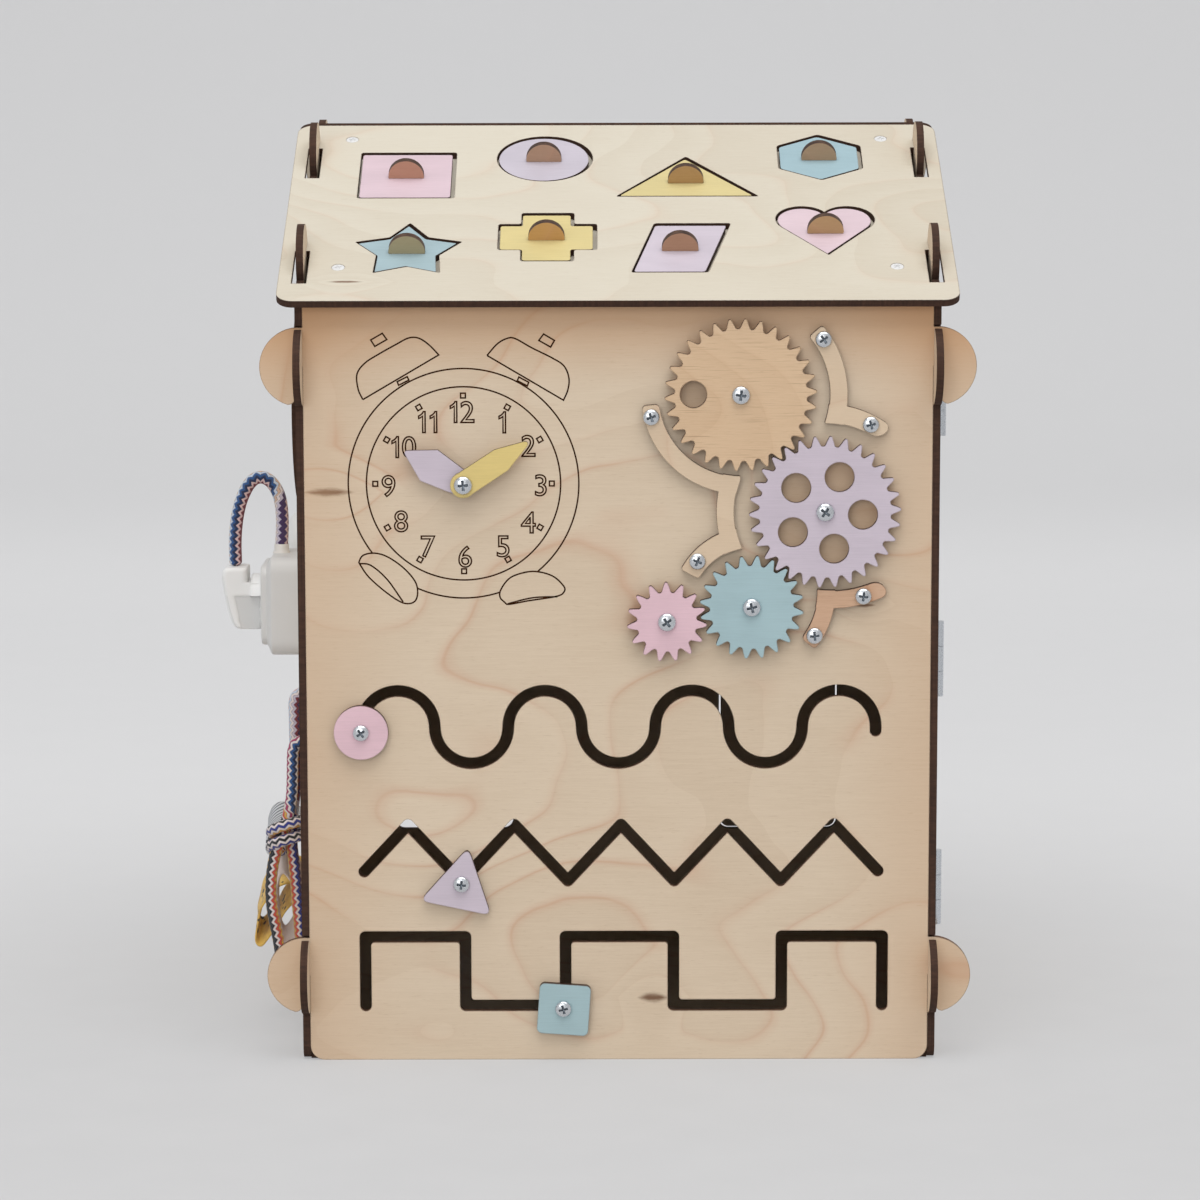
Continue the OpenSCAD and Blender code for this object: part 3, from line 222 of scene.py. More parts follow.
def colour(r, g, b):
    """Linear colour of an sRGB colour that is given from 0 to 255."""
    return tuple(c / 12.92 if c <= 0.04045 else ((c + 0.055) / 1.055) ** 2.4
                 for c in (r / 255, g / 255, b / 255)) + (1.0,)


def tint(tone, *by):
    """A linear colour with its channels multiplied, by one number or by one each."""
    by = by * 3 if len(by) == 1 else by
    return tuple(min(1, c * k) for c, k in zip(tone, by)) + (1.0,)


class Finish:
    """A procedural material: a Principled shader and the nodes that feed it."""

    def __init__(self, name, **values):
        self.material = bpy.data.materials.new(name)
        self.material.use_nodes = True
        self.tree = self.material.node_tree
        self.shader = self.tree.nodes["Principled BSDF"]
        self.set(**values)
        place = self.node("ShaderNodeTexCoord", output="Object")
        spot = self.node("ShaderNodeSeparateXYZ", inputs={0: place}).socket.node
        self.x, self.y, self.z = (Wire(self.tree, o) * 1000 for o in spot.outputs)
        facing = self.node("ShaderNodeTexCoord", output="Normal")
        turn = self.node("ShaderNodeSeparateXYZ", inputs={0: facing}).socket.node
        self.facing = [Wire(self.tree, o) for o in turn.outputs]

    def node(self, kind, settings=None, inputs=None, output=0):
        node = self.tree.nodes.new(kind)
        for key, value in (settings or {}).items():
            setattr(node, key, value)
        for key, value in (inputs or {}).items():
            self.feed(node.inputs[key], value)
        return Wire(self.tree, node.outputs[output])

    def feed(self, put, value):
        if isinstance(value, Wire):
            self.tree.links.new(value.socket, put)
        else:
            put.default_value = value

    def set(self, **values):
        for key, value in values.items():
            self.feed(self.shader.inputs[key.replace("_", " ")], value)

    def spot(self, x, y, z):
        return self.node("ShaderNodeCombineXYZ", inputs={0: x, 1: y, 2: z})

    def noise(self, x, y, z, detail=2.0, rough=0.5, scale=1.0):
        return self.node("ShaderNodeTexNoise", inputs={
            "Vector": self.spot(x, y, z), "Scale": scale, "Detail": detail, "Roughness": rough})

    def cloud(self, scale, detail=2.0, rough=0.5):
        """Noise over the piece itself, with so many cells a millimetre."""
        return self.noise(self.x, self.y, self.z, detail, rough, scale)

    def cells(self, where):
        return self.node("ShaderNodeTexVoronoi", inputs={"Vector": where, "Scale": 1.0})

    def along(self):
        """The two coordinates that run with a cord or a ribbon."""
        uv = self.node("ShaderNodeUVMap", {"uv_map": "along"})
        split = self.node("ShaderNodeSeparateXYZ", inputs={0: uv}).socket.node
        return Wire(self.tree, split.outputs[0]), Wire(self.tree, split.outputs[1])

    def ramp(self, value, low, high, to_low=0.0, to_high=1.0):
        """Smooth step of value from to_low at low to to_high at high."""
        return self.node("ShaderNodeMapRange", {"interpolation_type": "SMOOTHSTEP"}, {
            "Value": value, "From Min": low, "From Max": high,
            "To Min": to_low, "To Max": to_high})

    def mix(self, share, a, b):
        return self.node("ShaderNodeMix", {"data_type": "RGBA"}, {0: share, 6: a, 7: b}, 2)

    def stripes(self, value, tones):
        """Colour bands of equal width over 0 to 1, without blending."""
        node = self.tree.nodes.new("ShaderNodeValToRGB")
        node.color_ramp.interpolation = "CONSTANT"
        stops = node.color_ramp.elements
        while len(stops) < len(tones):
            stops.new(0.5)
        for i, tone in enumerate(tones):
            stops[i].position = i / len(tones)
        for i, tone in enumerate(tones):
            stops[i].color = tone
        self.feed(node.inputs[0], value)
        return Wire(self.tree, node.outputs[0])

    def bump(self, height, depth_mm, strength=1.0):
        self.set(Normal=self.node("ShaderNodeBump", inputs={
            "Strength": strength, "Distance": depth_mm / 1000, "Height": height}))

    def mark(self, name):
        return self.node("ShaderNodeAttribute", {"attribute_name": name}, output="Fac")

    def rim(self, reach_mm):
        """1 on a face's border, 0 further in: how far a rounded-off normal has turned."""
        soft = self.node("ShaderNodeBevel", {"samples": 4}, {"Radius": reach_mm / 1000})
        flat = self.node("ShaderNodeNewGeometry", output="True Normal")
        same = self.node("ShaderNodeVectorMath", {"operation": "DOT_PRODUCT"},
                         {0: soft, 1: flat}, "Value")
        return self.ramp(same, 0.97, 0.86)


# ---- wood

BURNT = colour(76, 52, 40)
CHAR = colour(54, 37, 29)
BIRCH = colour(214, 195, 171)
PALE_BIRCH = colour(199, 191, 175)
RUST = colour(196, 150, 122)


def sheet_axes(f, lie):
    """(along, across, through) of a board in mm, and how far its surface faces outward.
    lie is x, y or z for a board square to that axis, or front or back for the roof."""
    nx, ny, nz = f.facing
    if lie == "x":
        return f.y, f.z, f.x, abs(nx)
    if lie == "y":
        return f.x, f.z, f.y, abs(ny)
    if lie == "z":
        return f.x, f.y, f.z, abs(nz)
    way = 1 if lie == "front" else -1
    c, s = math.cos(SLOPE), math.sin(SLOPE)
    up = (f.y * way + EAVE_Y) * c + (f.z - EAVE_Z) * s
    off = (f.z - EAVE_Z) * c - (f.y * way + EAVE_Y) * s
    return f.x, up, off, abs(nz * c - ny * (s * way))


def veneer(f, u, v, tone, line=RUST, seed=0.0, knots=(), figure=1.0, grain=1.0, streaks=0.0):
    """Rotary-cut birch: fibres along u, faint growth-ring contours, fine flecks, knots and
    long dark hairs (streaks). A knot is (u, v, half length, half height). Returns the colour
    and the fibre height."""
    sway = f.noise(u * 0.0040, v * 0.0058, seed, 1.2)
    curl = f.noise(u * 0.019, v * 0.024, seed + 7, 1.0)
    rings = v * 0.012 + sway * 16.0 + curl * 0.7
    dark = 0.0
    for ku, kv, half_u, half_v in knots:
        far = ((u - ku) / half_u) ** 2 + abs(v - kv) / half_v
        rough = f.noise(u * 0.3, v * 0.9, seed, 2) * 0.5
        dark = f.ramp(far + rough, 0.35, 1.35, 1, 0) + dark
        rings = rings + f.ramp(far, 0.0, 9.0, 1.6, 0.0)
    edge = rings.zigzag()
    contour = f.ramp(edge, 0.66, 1.0) * 0.5 + f.ramp(edge, 0.90, 1.0) * 0.4
    late = f.ramp((rings + 0.5).fract(), 0.0, 1.0)
    there = f.ramp(f.noise(u * 0.012, v * 0.014, seed + 3, 1), 0.34, 0.62)
    fibre = f.noise(u * 0.05, v * 1.5, seed + 1, 3.0, 0.6)
    fine = f.noise(u * 0.22, v * 4.2, seed + 2, 2.0, 0.6)
    fleck = f.ramp(f.noise(u * 0.16, v * 2.6, seed + 5, 1), 0.68, 0.76)
    light = ((fibre - 0.5) * (0.50 * grain) + (fine - 0.5) * (0.32 * grain)
             + (sway - 0.5) * 0.7 + 0.68 - fleck * (0.40 * grain) - late * 0.14)
    face = f.mix(f.ramp(light, 0.0, 1.0), tint(tone, 0.86, 0.82, 0.78),
                 tint(tone, 1.05, 1.07, 1.09))
    face = f.mix(contour * there * (0.56 * figure), face, line)
    if streaks:
        hair = f.ramp(f.noise(u * 0.035, v * 1.9, seed + 9, 1.5, 0.55), 0.60, 0.72)
        face = f.mix(hair * streaks, face, tint(line, 0.55))
    if knots:
        face = f.mix(dark.least(1.0) * 0.9, face, colour(104, 68, 44))
    return face, fibre + fine * 0.5


def burnt_edge(f, u, v, w, tones=(CHAR, BURNT)):
    """Laser-charred edge: dark brown, streaked through the thickness, plies faintly seen."""
    streak = f.noise(u * 0.7, v * 0.7, w * 0.12, 2.0, 0.6)
    plies = f.noise(u * 0.02, v * 0.02, w * 1.4, 1.0)
    return f.mix(f.ramp(streak * 0.6 + plies * 0.4, 0.3, 0.72), *tones)


def board(name, lie, tone=BIRCH, top_shade_and_side_warmth=0.0, char_and_slot_light=(CHAR, BURNT), behind=(), **look):
    """Bare plywood, grained on its faces and burnt on its edges, with a thin scorched line
    round each face. The number after the tone warms and darkens the face towards the sides,
    and towards the top as painted shade under the eave. behind lists the (x, z, radius) of
    discs of painted shade, where the wood is darker and warmer behind the gears."""
    f = Finish(name, Specular_IOR_Level=0.25)
    u, v, w, out = sheet_axes(f, lie)
    face, fibre = veneer(f, u, v, tone, **look)
    if top_shade_and_side_warmth:
        # Painted shade under the eave towards the top; warmer and darker towards the sides.
        tan = f.ramp(abs(u), 105, 185) * 0.34 + f.ramp(v, 368, 420) * 0.72
        face = f.mix(tan * top_shade_and_side_warmth, face, colour(198, 156, 118))
    # Painted shade behind the gears: the wood is darker and warmer in discs round them.
    for x, z, r in behind:
        far = ((u - x) ** 2 + (v - z) ** 2) ** 0.5
        face = f.mix(f.ramp(far, r + 4, r - 5) * 0.36, face, colour(186, 140, 98))
    flat = f.ramp(out, 0.55, 0.8)
    edge = burnt_edge(f, u, v, w, char_and_slot_light)
    face = f.mix(f.rim(0.9) * 0.8, face, BURNT)
    f.set(Base_Color=f.mix(flat, edge, face), Roughness=f.ramp(flat, 0, 1, 0.8, 0.66))
    f.bump(fibre, 0.05, 0.55)
    return f


def painted(name, tone, lie="y", knob_wood_bounce_and_shade=None):
    """The last argument, if given, is the colour of what stands up from a tile's face: bare
    wood, tinted as painted bounce light from the tile's paint and darkened as painted shade.
    knob is the bare wood of what stands up from a tile's face."""
    f = Finish(name, Specular_IOR_Level=0.3)
    u, v, w, out = sheet_axes(f, lie)
    fibre = f.noise(u * 0.05, v * 1.3, 3.0, 3.0, 0.6)
    cloud = f.noise(u * 0.03, v * 0.05, 9.0, 2.0)
    thin = f.ramp(f.noise(u * 0.2, v * 3.0, 5.0, 1), 0.64, 0.8)
    coat = f.mix(f.ramp((fibre + cloud) * 0.5 - thin * 0.12, 0.3, 0.7),
                 tint(tone, 0.93), tint(tone, 1.05))
    flat = f.ramp(out, 0.55, 0.8)
    rim = f.mix(f.ramp(f.noise(u * 0.6, v * 0.6, w * 0.3, 2), 0.3, 0.75), CHAR, BURNT)
    skin = f.mix(flat, rim, f.mix(f.rim(0.8) * 0.6, coat, BURNT))
    if knob_wood_bounce_and_shade:
        # The knob's broad face: bare wood in a colour that carries painted bounce light and painted
        # shade.
        grain, _ = veneer(f, u, w, knob_wood_bounce_and_shade, seed=11.0, figure=0.4, grain=1.6)
        up_slope = f.facing[1] * math.cos(SLOPE) + f.facing[2] * math.sin(SLOPE)
        broad = f.ramp(abs(up_slope), 0.75, 0.9)
        streak = f.noise(u * 0.2, v * 1.6, w * 0.2, 2.0)
        curve = f.mix(f.ramp(streak, 0.35, 0.7), colour(46, 31, 24), colour(92, 65, 48))
        skin = f.mix(f.ramp(w, PLY + 0.02, PLY + 0.06), skin, f.mix(broad, curve, grain))
    f.set(Base_Color=skin, Roughness=f.ramp(cloud, 0.2, 0.8, 0.42, 0.58))
    f.bump(fibre + cloud * 0.2, 0.04, 0.5)
    return f


def dress(finish, *names):
    """Gives CAD nodes a finish."""
    for name in names:
        for place in nodes[name].material_slots:
            place.material = finish.material


def finish_wood():
    """Every bare board: walls, roof, doors, guides, wooden gear, spin wheel, buttons."""
    front_knots = ((-157.5, 316.5, 15.0, 3.0), (19.0, 35.0, 9.5, 3.6), (134.0, 254.0, 7.5, 1.5))
    gears = ((66.4, 369.5, 37.0), (112.3, 305.8, 37.0), (72.6, 253.7, 26.0), (26.4, 245.7, 20.0))
    # The front wall's edge char is lighter than the other boards': its own char, brightened as
    # painted light on the slots' insides.
    dress(board("front_birch", "y", top_shade_and_side_warmth=1.0, knots=front_knots, seed=2.4, behind=gears,
                char_and_slot_light=(colour(86, 62, 48), colour(116, 86, 68))), "front_wall")
    dress(board("back_birch", "y", seed=31.0, figure=0.7), "back_wall", "back_door")
    dress(board("side_birch", "x", seed=17.0, figure=0.7), "left_wall", "right_wall")
    dress(board("door_birch", "x", seed=23.0, figure=0.9),
          "top_door", "middle_door", "low_door", "spin_wheel")
    dress(board("floor_birch", "z", seed=5.0), "floor_panel")
    roof_knots = ((-148.0, 21.0, 11.0, 1.6),)
    dress(board("roof_birch", "front", PALE_BIRCH, knots=roof_knots, seed=41.0, figure=0.3),
          "front_roof", "roof_tray")
    dress(board("back_roof_birch", "back", PALE_BIRCH, seed=47.0, figure=0.5), "back_roof")
    dress(board("guide_birch", "y", colour(212, 189, 162), seed=53.0, figure=0.4),
          "gear_guide_top", "gear_guide_left")
    dress(board("orange_birch", "y", colour(206, 170, 142), line=colour(178, 126, 92), seed=59.0,
                grain=1.6, streaks=0.35), "gear_guide_low")
    dress(board("gear_birch", "y", colour(211, 181, 148), line=colour(188, 146, 110), seed=61.0,
                figure=0.3, grain=1.6, streaks=0.5), "wood_gear")
    dress(board("turn_birch_x", "x", colour(212, 178, 146), seed=67.0, grain=1.4),
          "top_turn_button", "middle_turn_button", "low_turn_button")
    dress(board("turn_birch_y", "y", colour(212, 178, 146), seed=71.0, grain=1.4),
          "back_turn_button")


PINK = colour(221, 187, 196)
LILAC = colour(200, 188, 199)
BLUE = colour(163, 188, 193)
YELLOW = colour(218, 195, 126)
# A tile's shape, hue, paint colour and knob colour; the knob colour is bare wood tinted as painted
# bounce light from the tile's paint and darkened as painted shade.
TILES = (("square", "pink", (202, 180, 188), (188, 140, 118)),
         ("circle", "lilac", (186, 179, 189), (176, 142, 118)),
         ("triangle", "yellow", (201, 186, 134), (180, 144, 98)),
         ("hexagon", "blue", (150, 175, 183), (170, 142, 114)),
         ("star", "blue", (152, 173, 179), (166, 154, 122)),
         ("cross", "yellow", (203, 187, 132), (196, 152, 96)),
         ("slanted", "lilac", (191, 181, 191), (174, 134, 108)),
         ("heart", "pink", (204, 183, 190), (182, 148, 108)))
TILE_EASE = 0.9     # how much slimmer a tile's plate is than its hole's fit, on each side
TILE_SLIP = 0.6     # how far it has slid down the roof, and to the left


def finish_paint():
    """Every painted board: gears, hands, slider buttons and the roof's tiles."""
    dress(painted("pink_paint", PINK), "pink_gear", "disc_button")
    dress(painted("lilac_paint", LILAC), "lilac_gear", "hour_hand", "triangle_button")
    dress(painted("blue_paint", BLUE), "blue_gear", "square_button")
    dress(painted("yellow_paint", YELLOW), "minute_hand")
    for shape, hue, paint, knob_wood_bounce_and_shade in TILES:
        finish = painted(shape + "_tile_paint", colour(*paint), "front", colour(*knob_wood_bounce_and_shade))
        ease_tile(shape + "_tile", finish, hue + "_paint")


def corners_mm(data):
    """A mesh's points, as rows in millimetres."""
    co = np.empty(len(data.vertices) * 3)
    data.vertices.foreach_get("co", co)
    return co.reshape(-1, 3) * 1000


def ease_tile(node, finish, slot):
    """A tile lies loose in its hole: its plate is slimmer than the hole, and has slid."""
    data = nodes[node].data.copy()
    tile = add(node + "_loose", data)
    co = corners_mm(data)
    x, s = co[:, 0], co @ UP_ROOF
    plate = co @ OFF_ROOF < (np.array([0, -EAVE_Y, EAVE_Z]) @ OFF_ROOF) + PLY + 0.02
    for axis, way in ((x, np.array([1.0, 0, 0])), (s, UP_ROOF)):
        low, high = axis[plate].min(), axis[plate].max()
        share = (2 * axis - low - high) / (high - low)
        move = np.where(plate, -TILE_EASE * share, 0) - TILE_SLIP
        co = co + move[:, None] * way
    data.vertices.foreach_set("co", (co / 1000).ravel())
    data.materials.clear()
    data.materials.append(finish.material)
    data.update()
    install(tile, node, slot, node)


# ---- metal and plastic

def zinc_finish():
    """Bright zinc plate with fine swirls, and painted shade where the mark recess is up, in the
    cross recess.
    """
    f = Finish("zinc_plate", Metallic=1.0)
    swirl = f.cloud(1.2)
    plate = f.mix(swirl, colour(196, 201, 208), colour(226, 229, 232))
    # Painted shade in the cross recess.
    f.set(Base_Color=f.mix(f.mark("recess") * 0.85, plate, colour(46, 60, 72)),
          Roughness=f.ramp(swirl, 0.3, 0.7, 0.2, 0.34))
    f.bump(swirl, 0.01, 0.3)
    return f


def white_metal_finish():
    """White lacquer of the roof's countersunk screws, with painted shade in their cross recesses.
    """
    f = Finish("white_lacquer", Roughness=0.4)
    cloud = f.cloud(0.8)
    white = f.mix(cloud, colour(196, 196, 196), colour(222, 222, 222))
    # Painted shade in the cross recess.
    f.set(Base_Color=f.mix(f.mark("recess") * 0.8, white, colour(120, 120, 120)))
    f.bump(cloud, 0.02, 0.3)
    return f


def plastic_finish(name, tone, rough, glow=0.0):
    """Moulded plastic with a faint spark-eroded texture."""
    f = Finish(name, Roughness=rough, Specular_IOR_Level=0.4)
    pits = f.cloud(3.0, 3.0, 0.7)
    f.set(Base_Color=f.mix(f.cloud(0.05), tint(tone, 0.96), tone),
          Roughness=f.ramp(pits, 0.3, 0.7, rough - 0.05, rough + 0.07))
    if glow:
        f.shader.inputs["Subsurface Weight"].default_value = glow
        f.shader.inputs["Subsurface Radius"].default_value = (0.004, 0.004, 0.004)
    f.bump(pits, 0.015, 0.3)
    return f


ZINC = zinc_finish()
LACQUER = white_metal_finish()
SOCKET_WHITE = plastic_finish("socket_plastic", colour(216, 215, 213), 0.42)
LAMP_WHITE = plastic_finish("lamp_plastic", colour(236, 236, 234), 0.42, 0.3)


PAN_HEAD = (4.5, 2.8)      # radius and height
BOLT_HEAD = (5.0, 3.2)
SUNK_HEAD = (3.6, 0.35)


def crossed_cap(r, h, turn, arm, deep, rings=26, sides=88):
    """Domed screw head with a cross recess on the Z = 0 plane.
    height = h (0.35 + 0.65 sqrt(1 - (q/r)^2)) - deep (1 - 0.45 q/reach) inside the cross,
    whose arms are 2 * 0.085 r wide at their middles and flare to their ends."""
    a = np.arange(sides) / sides * 2 * math.pi
    q = np.r_[np.linspace(0, arm * r * 1.12, rings), np.linspace(arm * r * 1.12, r, 9)[1:]]
    x, y = q[:, None] * np.cos(a - turn), q[:, None] * np.sin(a - turn)
    reach = arm * r

    def bar(along, across):
        half = r * (0.085 + 0.05 * np.abs(along) / reach)
        side = np.clip((half - np.abs(across)) / (0.045 * r) + 0.5, 0, 1)
        end = np.clip((reach - np.abs(along)) / (0.07 * r) + 0.5, 0, 1)
        return side * end

    cross = np.maximum(bar(x, y), bar(y, x))
    dome = h * (0.35 + 0.65 * np.sqrt(np.clip(1 - (q / r) ** 2, 0, 1)))[:, None]
    z = dome - deep * cross * (1 - 0.45 * np.minimum(q / reach, 1))[:, None]
    top = np.stack([q[:, None] * np.cos(a), q[:, None] * np.sin(a), z], -1).reshape(-1, 3)
    ring = np.stack([np.cos(a), np.sin(a), np.zeros(sides)], -1)
    skirt = np.vstack([ring * r + (0, 0, 0.3), ring * (r - 0.3), ring * 0.01])
    points = np.vstack([top, skirt])
    faces = grid_faces(len(q) + 3, sides)
    return points, faces, np.r_[cross.ravel(), np.zeros(3 * sides)]


def loose_parts(node):
    """The separate solids of a CAD node, as (points in mm, faces) with shared corners."""
    data = nodes[node].data
    co = corners_mm(data)
    _, first, same = np.unique((co * 100).round().astype(int), axis=0, return_index=True,
                               return_inverse=True)
    same = same.ravel()
    faces = [[int(same[v]) for v in p.vertices] for p in data.polygons]
    root = list(range(len(first)))

    def top(i):
        while root[i] != i:
            root[i] = root[root[i]]
            i = root[i]
        return i

    for face in faces:
        for other in face[1:]:
            root[top(other)] = top(face[0])
    owner = np.array([top(i) for i in range(len(first))])
    for group in np.unique(owner):
        members = np.flatnonzero(owner == group)
        new = {int(m): i for i, m in enumerate(members)}
        yield co[first[members]], [[new[v] for v in f] for f in faces if owner[f[0]] == group]


def head_side(middle):
    """Which way a wall screw's head points, by the wall that it is in."""
    if middle[0] > WALL - 8:
        return np.array([1.0, 0, 0])
    if middle[0] < -WALL + 8 and middle[1] > FRONT + 8:
        return np.array([-1.0, 0, 0])
    return np.array([0, 1.0 if middle[1] > 0 else -1.0, 0])


def cross_screws(node, body, head, finish, slot, turns, axis=None, arm=0.53, deep=1.5):
    """Replaces a CAD node's screws with the same solids whose heads have a cross recess."""
    r, h = head
    parts, recess = [], []
    for k, (points, faces) in enumerate(loose_parts(node)):
        way = head_side((points.min(0) + points.max(0)) / 2) if axis is None else axis
        far = points @ way
        seat = far.max() - h
        crown = points[far > far.max() - 0.01].mean(0)
        keep = [f for f in faces if max(far[v] for v in f) < seat + 0.02]
        parts.append((points, keep))
        recess.append(np.zeros(len(points)))
        cap, cap_faces, cross = crossed_cap(r, h, turns[k % len(turns)], arm, deep)
        parts.append((stand(cap, crown - way * h, way), cap_faces))
        recess.append(cross)
    points, faces = weld(*parts)
    piece = mesh(node + "_crossed", points, faces, finish, marks={"recess": np.concatenate(recess)})
    install(piece, body, slot, node)


def make_screws():
    """All screws and bolts, with their cross recesses turned this way and that."""
    turns = [0.35, 1.2, 0.8, 0.1, 0.62, 1.45, 0.25, 0.95, 0.5, 1.3]
    cross_screws("panel_screws", "house", PAN_HEAD, ZINC, "zinc", turns)
    cross_screws("pivot_bolts", "house", BOLT_HEAD, ZINC, "zinc", turns[2:])
    for i, shape in enumerate(("disc", "triangle", "square")):
        runner = shape + "_runner"
        cross_screws(runner, runner, PAN_HEAD, ZINC, "zinc", turns[4 + i:])
    cross_screws("tray_screws", "house", SUNK_HEAD, LACQUER, "white_screws", turns, OFF_ROOF,
                 0.5, 0.9)


# ---- braid and ribbon

def braid_finish(name, tones, period=4.1, swing=0.09, twist=(0.0, 1.0, 0.0)):
    """Braided sheath: columns of coloured strands whose borders zigzag along the cord.
    band = u + swing zigzag(v / period), and each strand is a bead on its column. twist is
    (from v, to v, turns): the columns wind round the cord by so many turns in between."""
    f = Finish(name, Roughness=0.82, Sheen_Weight=0.25, Sheen_Roughness=0.5)
    u, v = f.along()
    step = (v / period).zigzag()
    wind = f.ramp(v, twist[0], twist[1], 0.0, twist[2])
    band = (u + step * swing + wind + 2).fract()
    column = (band * len(tones)).fract()
    fuzz = f.noise(u * 60, v * 3.5, 1.0, 2.0)
    tone = f.stripes(band, tones)
    bead = ((v / period * 2 + 0.25).zigzag() * 1.5 + 0.35).least(1)
    gap = f.ramp((column.zigzag() * 1.6).least(1) * bead, 0.05, 0.55)
    # Painted shade in the gaps between strands and beads.
    shade = f.mix(f.ramp(gap * 0.8 + fuzz * 0.35, 0.15, 0.75), colour(40, 38, 44), tone)
    f.set(Base_Color=f.mix(0.55, tone, shade))
    f.bump(gap + fuzz * 0.3, 0.45, 0.8)
    return f


NAVY = colour(28, 44, 82)
AZURE = colour(44, 84, 140)
BLUSH = colour(222, 190, 190)
SNOW = colour(226, 214, 212)
ICE = colour(196, 206, 222)
MAROON = colour(128, 52, 66)
SAND = colour(214, 182, 160)
LAVENDER = colour(200, 190, 206)
PLUM = colour(70, 46, 92)
JET = colour(30, 32, 38)
CORAL = colour(206, 84, 66)
GOLD = colour(216, 168, 78)
ROYAL = colour(52, 62, 140)
BERRY = colour(162, 56, 96)


def soft_tube(name, line, diameter, finish, sides=36, side=(0, 1, 0)):
    """A braided round cord along a line, its ends closed by small domes."""
    r = np.full(len(line), diameter / 2)
    for i, share in enumerate((0.35, 0.8)):
        r[i] *= share
        r[-1 - i] *= share
    points, faces, uv = tube(line, r, sides, side)
    faces = faces + [list(range(sides))[::-1], [len(points) - sides - 1 + i for i in range(sides)]]
    return mesh(name, points, faces, finish, uv)


CORD_D = 7.5
LACE_D = 6.5
SOCKET_Z = 233.4
SOCKET_TOP = SOCKET_Z + 29.0
CORD_PATH = [(23, 0), (23, 5), (22.6, 11), (22.4, 17.5), (22.6, 24.5), (23.4, 31), (25.4, 37),
             (28.8, 41.8), (33.2, 44.4), (37.8, 43.9), (41.6, 40.6), (44.6, 35.4), (47, 29.4),
             (48.6, 22.8), (49.6, 16.2), (50.2, 9.6), (50.4, 3), (50.3, -2.7), (50.3, -7.9)]
UPPER_PATH = [(-6, 199), (0.6, 199), (4.8, 197.2), (6.4, 193.2), (6.4, 187), (6.3, 178),
              (6.2, 168), (6.2, 158), (6.4, 148), (7.2, 138), (8.4, 128), (9, 119), (8.6, 110),
              (7.6, 100), (6.8, 90), (6.2, 80), (5.4, 70), (4.8, 60), (4.6, 50)]
LOWER_PATH = [(-6, 173), (0.6, 173), (5, 171.2), (6.8, 167), (7.2, 160), (7.4, 151), (8, 141),
              (10.2, 130), (13.8, 119), (17, 110), (19.2, 100), (20.2, 89), (19.8, 79),
              (18.2, 69), (16.4, 59), (15, 49), (14.4, 42)]


def off_left(path, y):
    """Points of a path of (out of the left wall, height) pairs, at that Y."""
    return np.array([(LEFT - out, y, z) for out, z in path])


def make_plug_cord(plug):
    """The cord loops up from the socket box's top and down into the plug's handle."""
    line = spline(off_left([(out, SOCKET_TOP + up) for out, up in CORD_PATH], 0.0), 5)
    braid = braid_finish("cord_braid", [PLUM, PLUM, BLUSH, MAROON, MAROON, BLUSH, NAVY, AZURE, ICE,
                                        SAND, SNOW, LAVENDER], 4.0, twist=(45, 26, 0.5))
    cord = soft_tube("braided_cord", line, CORD_D, braid)
    install(cord, "house", "braid_blue", "plug_cord")
    collar, faces = lathe([(3.0, 5.2), (4.1, 5.2), (4.35, 4.6), (4.4, 1.4), (5.0, 0.3), (5.4, -0.3),
                           (3.0, -0.3)], 40)
    foot = (LEFT - CORD_PATH[0][0], 0, SOCKET_TOP)
    sleeve = mesh("cord_collar", collar + foot, faces, CLEAR_WHITE)
    install(sleeve, "house", "white_plastic")


def lace_tip(name, line):
    """A sealed sleeve over the last 9 mm of a lace."""
    end, far = line[-1], run_length(line)
    back = line[np.searchsorted(far, far[-1] - 9)]
    axis = (end - back) / np.linalg.norm(end - back)
    points, faces = lathe([(0.2, -9), (3.3, -9), (3.5, -8.6), (3.45, -4), (3.3, 0), (2.6, 1.2),
                           (0.2, 1.6)], 32)
    tip = mesh(name, stand(points, end, axis), faces, CLEAR_WHITE)
    return install(tip, "house", "white_plastic")


def make_laces():
    """Two laces hang from their holes, are knotted together and end in loose tails."""
    laces = (("upper", UPPER_PATH, -128.0, "braid_red", (66, 84, 0.5),
              [SNOW, CORAL, GOLD, BLUSH, PLUM, MAROON, LAVENDER, SNOW, ICE, BLUSH, PLUM, ROYAL]),
             ("lower", LOWER_PATH, -136.0, "braid_blue", (44, 60, 0.5),
              [SNOW, JET, JET, GOLD, SNOW, NAVY, AZURE, SNOW, BERRY, SNOW, GOLD, CORAL]))
    for which, path, y, slot, twist, tones in laces:
        line = spline(off_left(path, y), 5)
        braid = braid_finish(which + "_braid", tones, twist=twist)
        tip = lace_tip(which + "_lace_tip", line)
        lace = soft_tube(which + "_lace_braid", line, LACE_D, braid, sides=32)
        install(lace, "house", slot, which + "_lace")


def make_knot():
    """The laces' knot: two turns of lace round both, in place
    (LEFT - 11.7 + 8.2 cos a, -132 - 9.6 sin a), falling 8.4 a turn and higher in front; its
    ends are tucked in behind."""
    a = np.linspace(-0.9, 4 * math.pi - 1.9, 150)
    tuck = 0.35 + 0.65 * np.clip(np.minimum(a - a[0], a[-1] - a) / 0.9, 0, 1) ** 0.7
    line = np.stack([LEFT - 11.7 + 8.2 * np.cos(a) * tuck, -132 - 9.6 * np.sin(a) * tuck,
                     125.5 - 8.4 * a / (2 * math.pi) + 2.4 * np.sin(a) + 1.2 * np.cos(a)], -1)
    braid = braid_finish("knot_braid", [SNOW, ROYAL, BERRY, SNOW, JET, SNOW, CORAL, GOLD, SNOW,
                                        ROYAL, SNOW, JET])
    knot = soft_tube("lace_knot_braid", line, 6.3, braid, sides=32, side=(0, 0, 1))
    install(knot, "house", "braid_red", "lace_knot")


